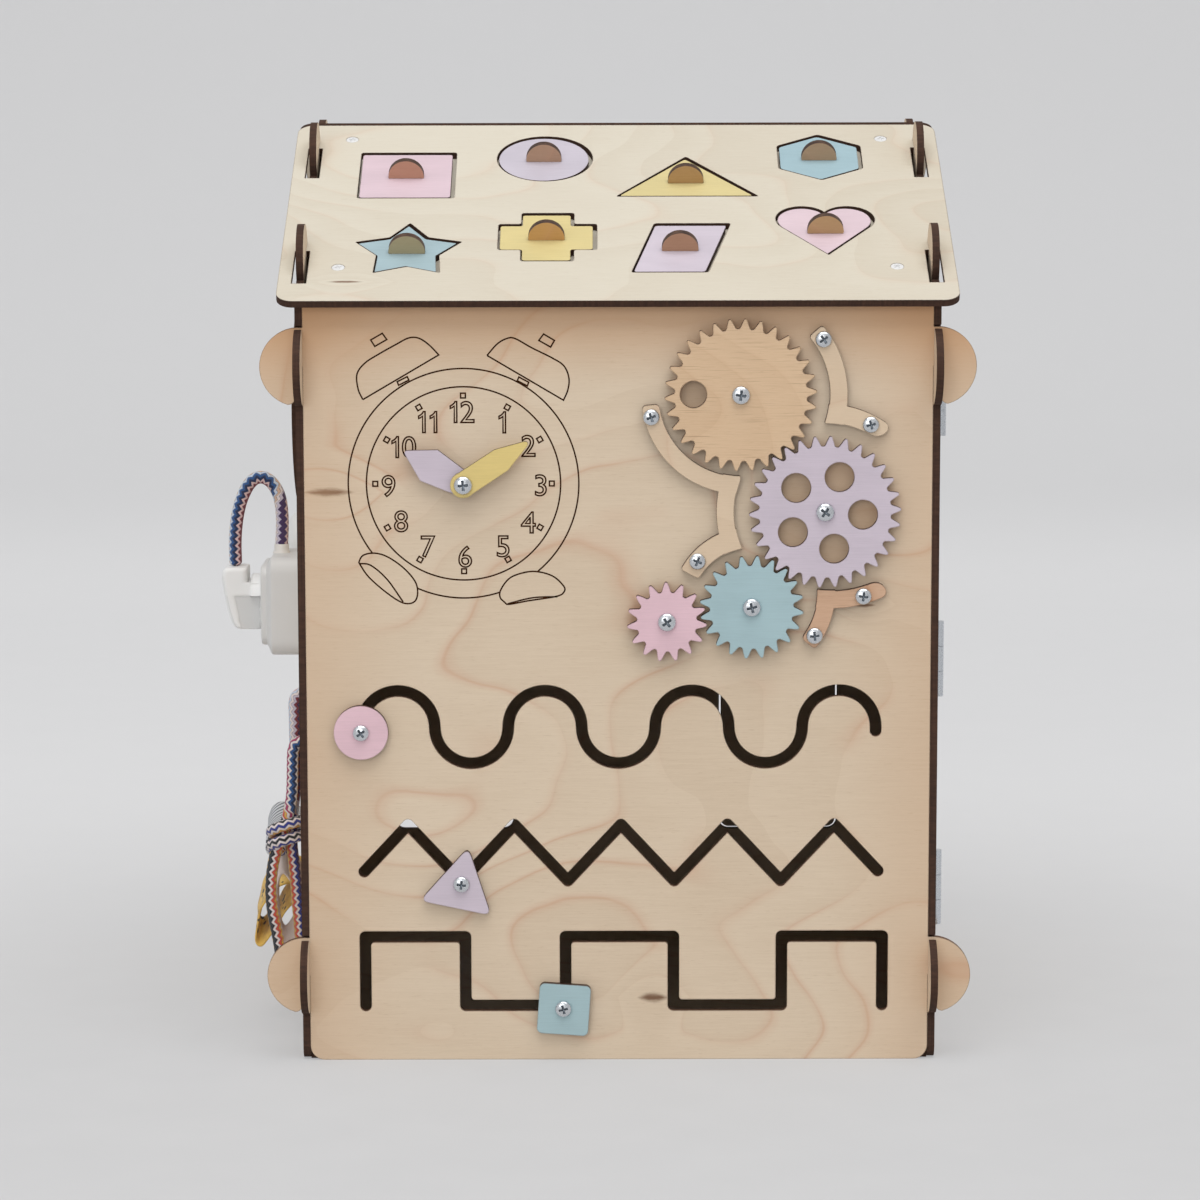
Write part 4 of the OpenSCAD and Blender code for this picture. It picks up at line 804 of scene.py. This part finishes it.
def ribbon_finish(kind):
    """Woven ribbon: fine cross ribs, with stripes, spots or one colour."""
    f = Finish("ribbon_" + kind, Roughness=0.7, Sheen_Weight=0.2)
    u, v = f.along()
    ribs = (v / 0.45).zigzag()
    threads = (u / 0.3).zigzag()
    cloud = f.noise(u * 0.2, v * 0.2, 2.0, 2.0)
    if kind == "striped":
        edge = f.ramp(((u * 0.9 + v * 0.5) / 2.1).zigzag(), 0.52, 0.66)
        tone = f.mix(edge, colour(214, 217, 221), colour(98, 104, 112))
    elif kind == "spotted":
        dots = f.cells(f.spot(u / 5.2, v / 5.2, 0.0))
        gold = f.mix(f.ramp(cloud, 0.35, 0.65), colour(214, 170, 84), colour(240, 198, 96))
        tone = f.mix(f.ramp(dots, 0.22, 0.28), colour(50, 45, 40), gold)
    else:
        tone = f.mix(cloud, colour(236, 216, 204), colour(244, 228, 218))
    f.set(Base_Color=f.mix(ribs * 0.14 + threads * 0.08, tone, colour(96, 86, 76)))
    f.bump(ribs + threads * 0.6, 0.12, 0.6)
    return f


# Each ribbon's kind, the Y and Z of its slot, how far it stands out, drops and bellies, its lean.
RIBBONS = (("striped", -105, 120.5, 24.0, 6, 7, 0.5), ("spotted", -75, 86, 33.0, 30, 13, 0.6),
           ("plain", -105, 77, 19, 2, 32, 1.3))


def make_ribbons():
    """Three ribbon loops. Seen along the wall, a loop's line is
    (-out sin(pi t), z + 2 cos(pi t) - drop sin^2(pi t) + fat sin(2 pi t) sin(pi t)), and
    away from the wall the ribbon leans, so that its front edge hangs lower."""
    for kind, y, z, out, drop, fat, lean in RIBBONS:
        t = np.linspace(0, 1, 73)
        s = np.sin(math.pi * t)
        x = LEFT - out * s
        h = z + 2 * np.cos(math.pi * t) - drop * s ** 2 + fat * np.sin(2 * math.pi * t) * s
        x = np.r_[LEFT + PLY, x, LEFT + PLY]
        h = np.r_[z + 2, h, z - 2]
        line = np.stack([x, np.zeros_like(x), h], -1)
        far = run_length(line)
        across = np.linspace(-12, 12, 17)
        turn = np.gradient(line, axis=0)
        turn /= np.linalg.norm(turn, axis=1)[:, None]
        out_way = np.stack([-turn[:, 2], np.zeros_like(x), turn[:, 0]], -1)
        free = np.r_[0, np.clip(s * 2.5, 0, 1), 0][:, None]    # 0 where it goes through the wall
        ripple = (0.35 * np.sin(far[:, None] * 0.35 + across[None] * 0.3)
                  - 0.6 * (across[None] / 12) ** 2) * free
        tilt = lean * free
        flat = across[None] / np.sqrt(1 + tilt ** 2)
        body = line[:, None] + out_way[:, None] * ripple[..., None]
        body[..., 1] += y + flat
        body[..., 2] += flat * tilt
        uv = np.stack(np.broadcast_arrays(across[None] + 12, far[:, None]), -1).reshape(-1, 2)
        piece = mesh(kind + "_ribbon", body.reshape(-1, 3), grid_faces(len(x), 17, wrap=False),
                     ribbon_finish(kind), uv)
        thick = piece.modifiers.new("cloth", "SOLIDIFY")
        thick.thickness = 0.0009
        thick.offset = 0
        apply_modifiers(piece)
        install(piece, "house", "ribbon")
    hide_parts("ribbon_tags")


def apply_modifiers(piece):
    """Replaces a piece's mesh by what its modifiers make of it."""
    graph = bpy.context.evaluated_depsgraph_get()
    done = bpy.data.meshes.new_from_object(piece.evaluated_get(graph))
    piece.modifiers.clear()
    piece.data = done


# ---- socket, plug and lamp

CLEAR_WHITE = plastic_finish("sleeve_plastic", colour(226, 222, 216), 0.3)


def rounded_square(half, r, a):
    """Radius at angle a of a square with corners of radius r."""
    c, s = np.abs(np.cos(a)), np.abs(np.sin(a))
    side = half / np.maximum(c, s)
    k = half - r
    b = k * (c + s)
    corner = b + np.sqrt(np.maximum(b * b - 2 * k * k + r * r, 0))
    straight = np.minimum(c, s) * side <= k
    return np.where(straight, side, corner)


def ring_stack(rings, sides=160):
    """Surface through rings of (depth, half, corner radius); a round ring has half = r."""
    a = (np.arange(sides) + 0.5) / sides * 2 * math.pi
    rows = []
    for depth, half, r in rings:
        rho = rounded_square(half, min(r, half * 0.9999), a)
        rows.append(np.stack([np.full(sides, depth), rho * np.cos(a), rho * np.sin(a)], -1))
    return np.vstack(rows), grid_faces(len(rings), sides)


def from_socket(points):
    """From the socket's own frame, out of the wall along X, to the house's."""
    p = np.asarray(points, float)
    return np.stack([LEFT - p[:, 0], -p[:, 1], SOCKET_Z + p[:, 2]], -1)


def make_socket():
    """Socket box: a rounded square body, a chamfered front frame and a round seat."""
    shell = [(0, 29, 8.5), (26.6, 29, 8.5), (27.4, 28.75, 8.3), (27.9, 28.1, 8.0),
             (29.6, 24.9, 7.2), (30.2, 24.0, 6.7), (30.4, 23.6, 6.4), (32.6, 23.5, 6.2),
             (33.4, 23.2, 6.0), (33.8, 22.6, 5.8), (33.9, 21.8, 5.6)]
    seat = [(33.9, 19.3, 19.3), (33.6, 18.7, 18.7), (33.0, 18.5, 18.5), (24.2, 18.5, 18.5),
            (23.95, 18.2, 18.2), (23.9, 0.2, 0.2)]
    points, faces = ring_stack(shell + seat)
    box = mesh("socket_shell", from_socket(points), [f[::-1] for f in faces], SOCKET_WHITE)
    install(box, "house", "white_plastic", "socket_box", "socket_cover")


HANDLE_OUT = ((-15.4, 47.0), (-15.0, 49.0), (-13.4, 50.8), (-10.7, 52.3), (-4.3, 54.3),
              (4.1, 56.0), (12.1, 57.4), (16.0, 57.7), (18.6, 57.2), (20.2, 56.2), (21.1, 55.0))
NOTCH_Z = 12.3      # the handle's inner side steps out here, above the round foot
PANEL_TOP = 4.9     # upper edge of the flat grip on either side
HANDLE_Y = 12       # half width of the handle
GRIP_Y = 11.4       # half width over the flat grips
FOOT_R = 16.6


def section(x0, x1, half, r, n=96):
    """A rounded rectangle's points, evenly round it: x0 to x1 by -half to half."""
    r = min(r, (x1 - x0) / 2, half)
    a = np.linspace(0, math.pi / 2, 9)
    corner = [((x1 - r, half - r), 0), ((x0 + r, half - r), 90), ((x0 + r, r - half), 180),
              ((x1 - r, r - half), 270)]
    ring = np.vstack([np.stack([c[0] + r * np.cos(a + math.radians(d)),
                                c[1] + r * np.sin(a + math.radians(d))], -1) for c, d in corner])
    ring = np.vstack([ring, ring[:1]])
    far = run_length(ring)
    even = np.linspace(0, far[-1], n, endpoint=False)
    return np.stack([np.interp(even, far, ring[:, 0]), np.interp(even, far, ring[:, 1])], -1)


def plug_handle():
    """Sections of the handle stacked along Z; its two broad sides step in to a flat grip."""
    z_out, x_out = np.array(HANDLE_OUT).T
    levels = np.r_[-15.4, -15.2, np.linspace(-14.8, NOTCH_Z - 0.3, 38), NOTCH_Z + 0.1,
                   np.linspace(NOTCH_Z + 0.5, 19.2, 12), 20.2, 20.8, 21.1]
    rows = []
    for z in levels:
        end = 1.8 * (1 - math.sqrt(max(0, 1 - max(0, (abs(z - 2.85) - 16.45) / 1.8) ** 2)))
        x0 = 34.3 if z < NOTCH_Z else 42.6 + end * 0.4
        ring = section(x0, np.interp(z, z_out, x_out), HANDLE_Y - end, 3.0)
        inner = np.clip((51.0 - ring[:, 0] + (z - 5) * 0.2) / 0.5, 0, 1)
        grip = np.clip((PANEL_TOP - z) / 0.5, 0, 1) * inner
        wide = HANDLE_Y - (HANDLE_Y - GRIP_Y) * grip
        ring[:, 1] = np.sign(ring[:, 1]) * np.minimum(np.abs(ring[:, 1]), wide)
        rows.append(np.c_[ring, np.full(len(ring), z)])
    last = (len(rows) - 1) * 96
    faces = grid_faces(len(rows), 96) + [list(range(96))[::-1], [last + i for i in range(96)]]
    return np.vstack(rows), faces


def plug_foot():
    """A round foot along X. Outside the seat, its sides are flat below the grips' tops."""
    a = np.arange(120) / 120 * 2 * math.pi
    rows = []
    for x, r in ((24.3, 0.2), (24.3, 16.0), (24.7, FOOT_R), (33.9, FOOT_R), (34.4, FOOT_R),
                 (34.9, FOOT_R), (38.5, FOOT_R), (40.0, FOOT_R - 0.2), (40.7, FOOT_R - 0.9),
                 (40.8, FOOT_R - 1.8), (40.8, 0.2)):
        y, z = r * np.cos(a), r * np.sin(a)
        grip = np.clip((PANEL_TOP - z) / 0.5, 0, 1) * np.clip((x - 33.9) / 1.0, 0, 1)
        wide = (GRIP_Y - 0.3) * grip + 99 * (1 - grip)
        y = np.sign(y) * np.minimum(np.abs(y), wide)
        rows.append(np.stack([np.full(120, x), y, z], -1))
    return np.vstack(rows), grid_faces(len(rows), 120)


def plug_finish():
    """Bright moulded plastic; the flat grips get painted shade, darker than the rest."""
    f = plastic_finish("plug_plastic", colour(238, 238, 237), 0.4)
    # Painted shade on the flat grips, below the grips' tops.
    below = f.ramp(f.z, SOCKET_Z + PANEL_TOP, SOCKET_Z + PANEL_TOP - 0.6)
    sunk = f.ramp(abs(f.y), GRIP_Y + 0.4, GRIP_Y + 0.1) * f.ramp(abs(f.facing[1]), 0.7, 0.95)
    whole = f.mix(f.cloud(0.05), colour(232, 232, 231), colour(240, 240, 239))
    f.set(Base_Color=f.mix(below * sunk, whole, colour(212, 212, 211)))
    return f


def make_plug():
    """Plug: a round foot in the socket's seat, two pins and an upright handle."""
    parts = [plug_handle(), plug_foot()]
    for y in (-9.5, 9.5):
        pin, pin_faces = lathe([(0.1, 5.3), (1.7, 5.4), (2.4, 6.6), (2.4, 24.4), (0.1, 24.4)], 24)
        parts.append((pin[:, [2, 0, 1]] + (0, y, 0), pin_faces))
    points, faces = weld(*parts)
    plug = mesh("toy_plug", from_socket(points), faces, plug_finish())
    return install(plug, "plug", "white_plastic", "plug")


def make_lamp():
    """Push lamp: a round base with a softly domed cap that clicks in and out."""
    spot, axis = (LEFT, 61.0, 257.7), (-1.0, 0.0, 0.0)
    foot = [(0.1, 0.02), (29, 0.02), (29, 3.4), (28.7, 4.3), (28.1, 4.9), (27.3, 5.0), (26.5, 4.9),
            (26.3, 4.4), (26.3, 2.0), (0.1, 2.0)]
    rise = [(12 + 14 * math.cos(t), 8.0 + 16 * math.sin(t))
            for t in np.linspace(0, math.pi / 2, 26)]
    cap = [(0.1, 4.8), (25.6, 4.8), (26.0, 5.2)] + rise + [(6, 24.1), (0.1, 24.1)]
    for name, profile, finish, body, slot, solid in (
            ("lamp_foot", foot, SOCKET_WHITE, "house", "white_plastic", "lamp_base"),
            ("lamp_cap", cap, LAMP_WHITE, "lamp_dome", "lamp_plastic", "lamp_dome")):
        points, faces = lathe(profile, 96)
        install(mesh(name, stand(points, spot, axis), faces, finish), body, slot, solid)


# ---- clock engraving

CLOCK = (-84.1, 321.1)
LINE_W = 0.86


def stroke(points, closed=False):
    """A flat line of constant width on the front wall, as (points, faces) with mitres."""
    p = np.asarray(points, float)
    ahead = np.roll(p, -1, axis=0) - p if closed else np.diff(p, axis=0)
    ahead /= np.maximum(np.linalg.norm(ahead, axis=1), 1e-9)[:, None]
    before = np.roll(ahead, 1, axis=0) if closed else np.vstack([ahead[:1], ahead])
    after = ahead if closed else np.vstack([ahead, ahead[-1:]])
    side = np.stack([-(before + after)[:, 1], (before + after)[:, 0]], -1)
    size = np.maximum(np.linalg.norm(side, axis=1), 0.5)[:, None]
    side = side / size * np.minimum(2 / size, 1.6)
    flat = np.stack([p - side * LINE_W / 2, p + side * LINE_W / 2], 1).reshape(-1, 2)
    raised = np.stack([flat[:, 0], np.full(len(flat), FRONT - 0.03), flat[:, 1]], -1)
    n = len(p)
    last = n if closed else n - 1
    faces = [[2 * i, 2 * ((i + 1) % n), 2 * ((i + 1) % n) + 1, 2 * i + 1] for i in range(last)]
    return raised, faces


def circle(r, steps=180):
    a = np.arange(steps) / steps * 2 * math.pi
    return np.stack([r * np.cos(a), r * np.sin(a)], -1)


def digit_outlines(digit):
    """Closed outlines of a plain numeral, 1 high, and its width: a drawn 1, and for the rest
    Blender's own font."""
    if digit == "1":
        flag = [(0.36, 0), (0.36, 1), (0.28, 1), (0.235, 0.92), (0.16, 0.85), (0.05, 0.79),
                (0.05, 0.67), (0.14, 0.71), (0.24, 0.78), (0.24, 0)]
        return [np.array(flag)], 0.5
    text = bpy.data.curves.new("numeral", "FONT")
    text.body = digit
    text.fill_mode = "NONE"
    text.resolution_u = 5
    holder = add("numeral", text)
    graph = bpy.context.evaluated_depsgraph_get()
    data = bpy.data.meshes.new_from_object(holder.evaluated_get(graph))
    co = np.array([v.co for v in data.vertices])[:, :2]
    near = {}
    for e in data.edges:
        a, b = e.vertices
        near.setdefault(a, []).append(b)
        near.setdefault(b, []).append(a)
    loops, seen = [], set()
    for start in near:
        if start in seen:
            continue
        walk, at = [], start
        while at is not None and at not in seen:
            seen.add(at)
            walk.append(at)
            at = next((n for n in near[at] if n not in seen), None)
        loops.append(co[walk])
    bpy.data.objects.remove(holder)
    low = min(l[:, 1].min() for l in loops)
    high = max(l[:, 1].max() for l in loops)
    left = min(l[:, 0].min() for l in loops)
    right = max(l[:, 0].max() for l in loops)
    size = high - low
    return [(l - (left, low)) / size for l in loops], (right - left) / size


NUMERALS = {"12": (-0.54, 39.06), "1": (21.22, 33.4), "2": (35.36, 20.56), "3": (42, -0.98),
            "4": (35.14, -21.32), "5": (21.32, -34.38), "6": (0.65, -40.04), "7": (-19.58, -34.38),
            "8": (-34.16, -20.56), "9": (-40.8, -1.2), "10": (-32.31, 20.02), "11": (-19.26, 33.62)}


def rounded(points):
    """Closed smooth curve through the points."""
    p = np.array(points, float)
    return spline(np.vstack([p[-1], p, p[0], p[1]]), 6)[6:-12]


def clock_lines():
    """Every line of the alarm clock's drawing, in mm from its middle."""
    lines = []
    feet = [[(-57.34, -43.08), (-55.16, -39.28), (-49.18, -37.97), (-42.11, -39.82),
             (-33.4, -45.8), (-26.87, -53.42), (-25.46, -59.95), (-27.42, -64.84),
             (-33.4, -65.39), (-42.11, -59.95), (-51.9, -51.24), (-56.79, -44.17)],
            [(19.91, -63.21), (19.69, -58.86), (24.26, -52.33), (30.79, -49.29), (38.95, -48.2),
             (48.2, -50.7), (54.18, -56.14), (54.51, -59.4), (50.37, -61.91), (35.14, -64.3),
             (23.17, -66.26)]]
    closed = [rounded(foot) for foot in feet]
    inner = [[(-57.12, -43.63), (-50.81, -44.72), (-42.11, -52.33), (-33.4, -64.84)],
             [(23.72, -65.93), (37.32, -62.67), (50.92, -62.12)]]
    lines += [(spline(line, 6), False) for line in inner]
    lines += [(foot, True) for foot in closed]
    bells = [[(-54.29, 45.91), (-56.79, 51.57), (-57.34, 59.73), (-52.99, 65.72),
              (-45.37, 70.61), (-35.58, 76.05), (-29.05, 79.32), (-23.61, 79.1), (-18.17, 75.51),
              (-12.95, 70.07)],
             [(13.16, 69.74), (18.82, 76.05), (24.26, 78.99), (28.61, 78.77), (37.32, 73.88),
              (48.2, 68.44), (54.73, 64.08), (57.45, 57.56), (56.9, 51.03), (54.51, 45.37)]]
    for bell in bells:
        arc = spline(bell, 6)
        lines.append((np.vstack([arc, arc[:1]]), False))
    boxes = [[(-49.72, 78.23), (-43.41, 81.82), (-41.02, 78.44), (-47.55, 74.75)],
             [(43.85, 81.27), (49.72, 77.79), (47.65, 74.2), (41.24, 77.79)],
             [(-35.58, 55.6), (-30.14, 58.32), (-29.27, 56.47), (-34.82, 53.64)],
             [(30.36, 57.99), (35.69, 55.16), (34.92, 53.2), (29.48, 56.03)]]
    lines += [(np.array(box), True) for box in boxes]
    lines.append((circle(52.8), True))
    lines += ring_beside(circle(62.7, 360), closed)
    return lines


def ring_beside(ring, shapes):
    """The parts of a ring that lie outside closed shapes."""
    def inside(p, shape):
        q = np.roll(shape, -1, axis=0)
        cross = (shape[:, 1] > p[1]) != (q[:, 1] > p[1])
        rise = np.where(cross, q[:, 1] - shape[:, 1], 1)
        x = shape[:, 0] + (p[1] - shape[:, 1]) / rise * (q - shape)[:, 0]
        return (cross & (p[0] < x)).sum() % 2 == 1

    free = [not any(inside(p, s) for s in shapes) for p in ring]
    start = free.index(False)
    order = [(start + i) % len(ring) for i in range(len(ring))]
    runs, run = [], []
    for i in order:
        if free[i]:
            run.append(ring[i])
        elif run:
            runs.append(run)
            run = []
    if run:
        runs.append(run)
    return [(np.array(r), False) for r in runs if len(r) > 2]


def numeral_lines():
    """Outlined numerals and the small outlined squares of the hour marks."""
    lines = []
    tall = 11.4
    for label, spot in NUMERALS.items():
        shapes, at = [], 0.0
        for digit in label:
            outlines, wide = digit_outlines(digit)
            shapes += [o + (at, 0) for o in outlines]
            at += wide + 0.17 if digit != "1" else 0.55
        x0 = min(s[:, 0].min() for s in shapes)
        x1 = max(s[:, 0].max() for s in shapes)
        lines += [((s - ((x0 + x1) / 2, 0.5)) * tall + spot, True) for s in shapes]
    for hour in range(12):
        a = math.radians(90 - 30 * hour)
        out, side = np.array([math.cos(a), math.sin(a)]), np.array([-math.sin(a), math.cos(a)])
        square = [out * (48 + i) + side * j
                  for i, j in ((-1.3, -1.3), (1.3, -1.3), (1.3, 1.3), (-1.3, 1.3))]
        lines.append((np.array(square), True))
    return lines


def engraving_finish():
    """Laser-scorched line: brown with darker spots."""
    f = Finish("scorched_line", Roughness=0.9, Specular_IOR_Level=0.05)
    burn = f.cloud(0.9)
    f.set(Base_Color=f.mix(f.ramp(burn, 0.3, 0.7), colour(40, 21, 10), colour(68, 40, 22)))
    f.bump(burn, 0.03, 0.4)
    return f


def make_clock_face():
    """The clock's engraving, laid a hair proud of the front wall."""
    parts = []
    for line, closed in clock_lines() + numeral_lines():
        points, faces = stroke(line, closed)
        parts.append((points + (CLOCK[0], 0, CLOCK[1]), faces))
    points, faces = weld(*parts)
    piece = mesh("clock_engraving", points, faces, engraving_finish(), smooth=False)
    install(piece, "house", "birch_ply")


# ---- camera

def aim_camera():
    """A long lens in front of the house and a little above it, tilted down."""
    pitch, yaw, roll = (math.radians(a) for a in (7.6615, -0.008, -0.1096))
    ahead = Vector((-math.sin(yaw) * math.cos(pitch), math.cos(yaw) * math.cos(pitch),
                    -math.sin(pitch)))
    level = Vector((math.cos(yaw), math.sin(yaw), 0))
    above = level.cross(ahead)
    right = level * math.cos(roll) + above * math.sin(roll)
    up = above * math.cos(roll) - level * math.sin(roll)
    lens = bpy.data.cameras.new("camera")
    lens.sensor_width = 36
    lens.lens = 115.5
    lens.clip_end = 50
    camera = add("camera", lens)
    turn = Matrix((right, up, -ahead)).transposed().to_4x4()
    camera.matrix_world = Matrix.Translation((-0.0103, -2.2586, 0.5374)) @ turn
    bpy.context.scene.camera = camera


# ---- studio

def area_light(name, spot, aim, size, watts):
    """A rectangular light at a spot, in metres, that faces its aim."""
    lamp = bpy.data.lights.new(name, "AREA")
    lamp.shape = "RECTANGLE"
    lamp.size, lamp.size_y = size
    lamp.energy = watts
    holder = add(name, lamp)
    holder.location = spot
    holder.rotation_euler = (Vector(aim) - Vector(spot)).to_track_quat("-Z", "Y").to_euler()


def make_sky():
    """Even white light from all round; a camera sees a pale grey in its place."""
    world = bpy.data.worlds.new("studio")
    bpy.context.scene.world = world
    world.use_nodes = True
    tree = world.node_tree
    light = tree.nodes["Background"]
    light.inputs["Color"].default_value = (1, 1, 1, 1)
    light.inputs["Strength"].default_value = 0.60
    sky = tree.nodes.new("ShaderNodeBackground")
    sky.inputs["Color"].default_value = colour(196, 196, 197)
    path = tree.nodes.new("ShaderNodeLightPath")
    both = tree.nodes.new("ShaderNodeMixShader")
    for out, put in ((path.outputs["Is Camera Ray"], both.inputs[0]),
                     (light.outputs[0], both.inputs[1]), (sky.outputs[0], both.inputs[2]),
                     (both.outputs[0], tree.nodes["World Output"].inputs["Surface"])):
        tree.links.new(out, put)


def paper_finish():
    """Pale paper, lighter towards the back. Half of what a camera sees of it, straight or in
    a mirror, is a veil of even light, which fades a little with height."""
    paper = Finish("studio_paper", Roughness=0.9)
    tooth = paper.cloud(0.02)
    near = paper.ramp(paper.y, -350, 800)
    far = paper.ramp(paper.y, 600, 2600)
    tone = paper.mix(near, colour(188, 188, 189), colour(226, 226, 227))
    tone = paper.mix(far, tone, colour(240, 240, 241))
    paper.set(Base_Color=paper.mix(tooth * 0.1, tone, colour(255, 255, 255)))
    low = paper.mix(paper.ramp(paper.z, 0, 90), colour(213, 213, 214), colour(193, 193, 194))
    veil = paper.mix(paper.ramp(paper.z, 90, 650), low, colour(187, 187, 188))
    glow = paper.node("ShaderNodeEmission", inputs={"Color": veil, "Strength": 1.0})
    rays = [Wire(paper.tree, paper.tree.nodes.new("ShaderNodeLightPath").outputs[kind])
            for kind in ("Is Camera Ray", "Is Glossy Ray", "Is Transmission Ray")]
    seen = (rays[0] + rays[1] + rays[2]).least(1.0) * 0.5
    both = paper.node("ShaderNodeMixShader", inputs={
        0: seen, 1: Wire(paper.tree, paper.shader.outputs[0]), 2: glow})
    paper.feed(paper.tree.nodes["Material Output"].inputs["Surface"], both)
    return paper


def make_studio():
    """Seamless paper, 80 m wide, that sweeps up 1.6 m behind the house, and two box lights."""
    wide, back, radius = 40.0, 1.6, 1.4
    sweep = [(back + radius * math.sin(t), radius - radius * math.cos(t))
             for t in np.linspace(0, math.pi / 2, 25)]
    side = [(-wide, 0.0)] + sweep + [(back + radius, 5.0)]
    points = np.array([(x, y, z) for y, z in side for x in (-wide, wide)]) * 1000
    mesh("studio_paper", points, grid_faces(len(side), 2, wrap=False), paper_finish())
    area_light("overhead_box", (0.1, -0.9, 2.6), (0, 0, 0.25), (2.4, 2.0), 45)
    area_light("front_fill", (-0.9, -3.6, 1.3), (0, 0, 0.3), (2.2, 1.6), 25)
    scene = bpy.context.scene
    scene.view_settings.view_transform = "Standard"
    scene.view_settings.look = "None"


aim_camera()
make_sky()
plug = make_plug()
make_plug_cord(plug)
make_laces()
make_knot()
make_ribbons()
finish_wood()
finish_paint()
dress(ZINC, "pivot_spacers", "top_door_hinge", "middle_door_hinge", "low_door_hinge",
      "back_door_hinge", "hinge_frame_leaves", "lock_nuts")
make_screws()
make_socket()
make_lamp()
make_clock_face()
make_studio()
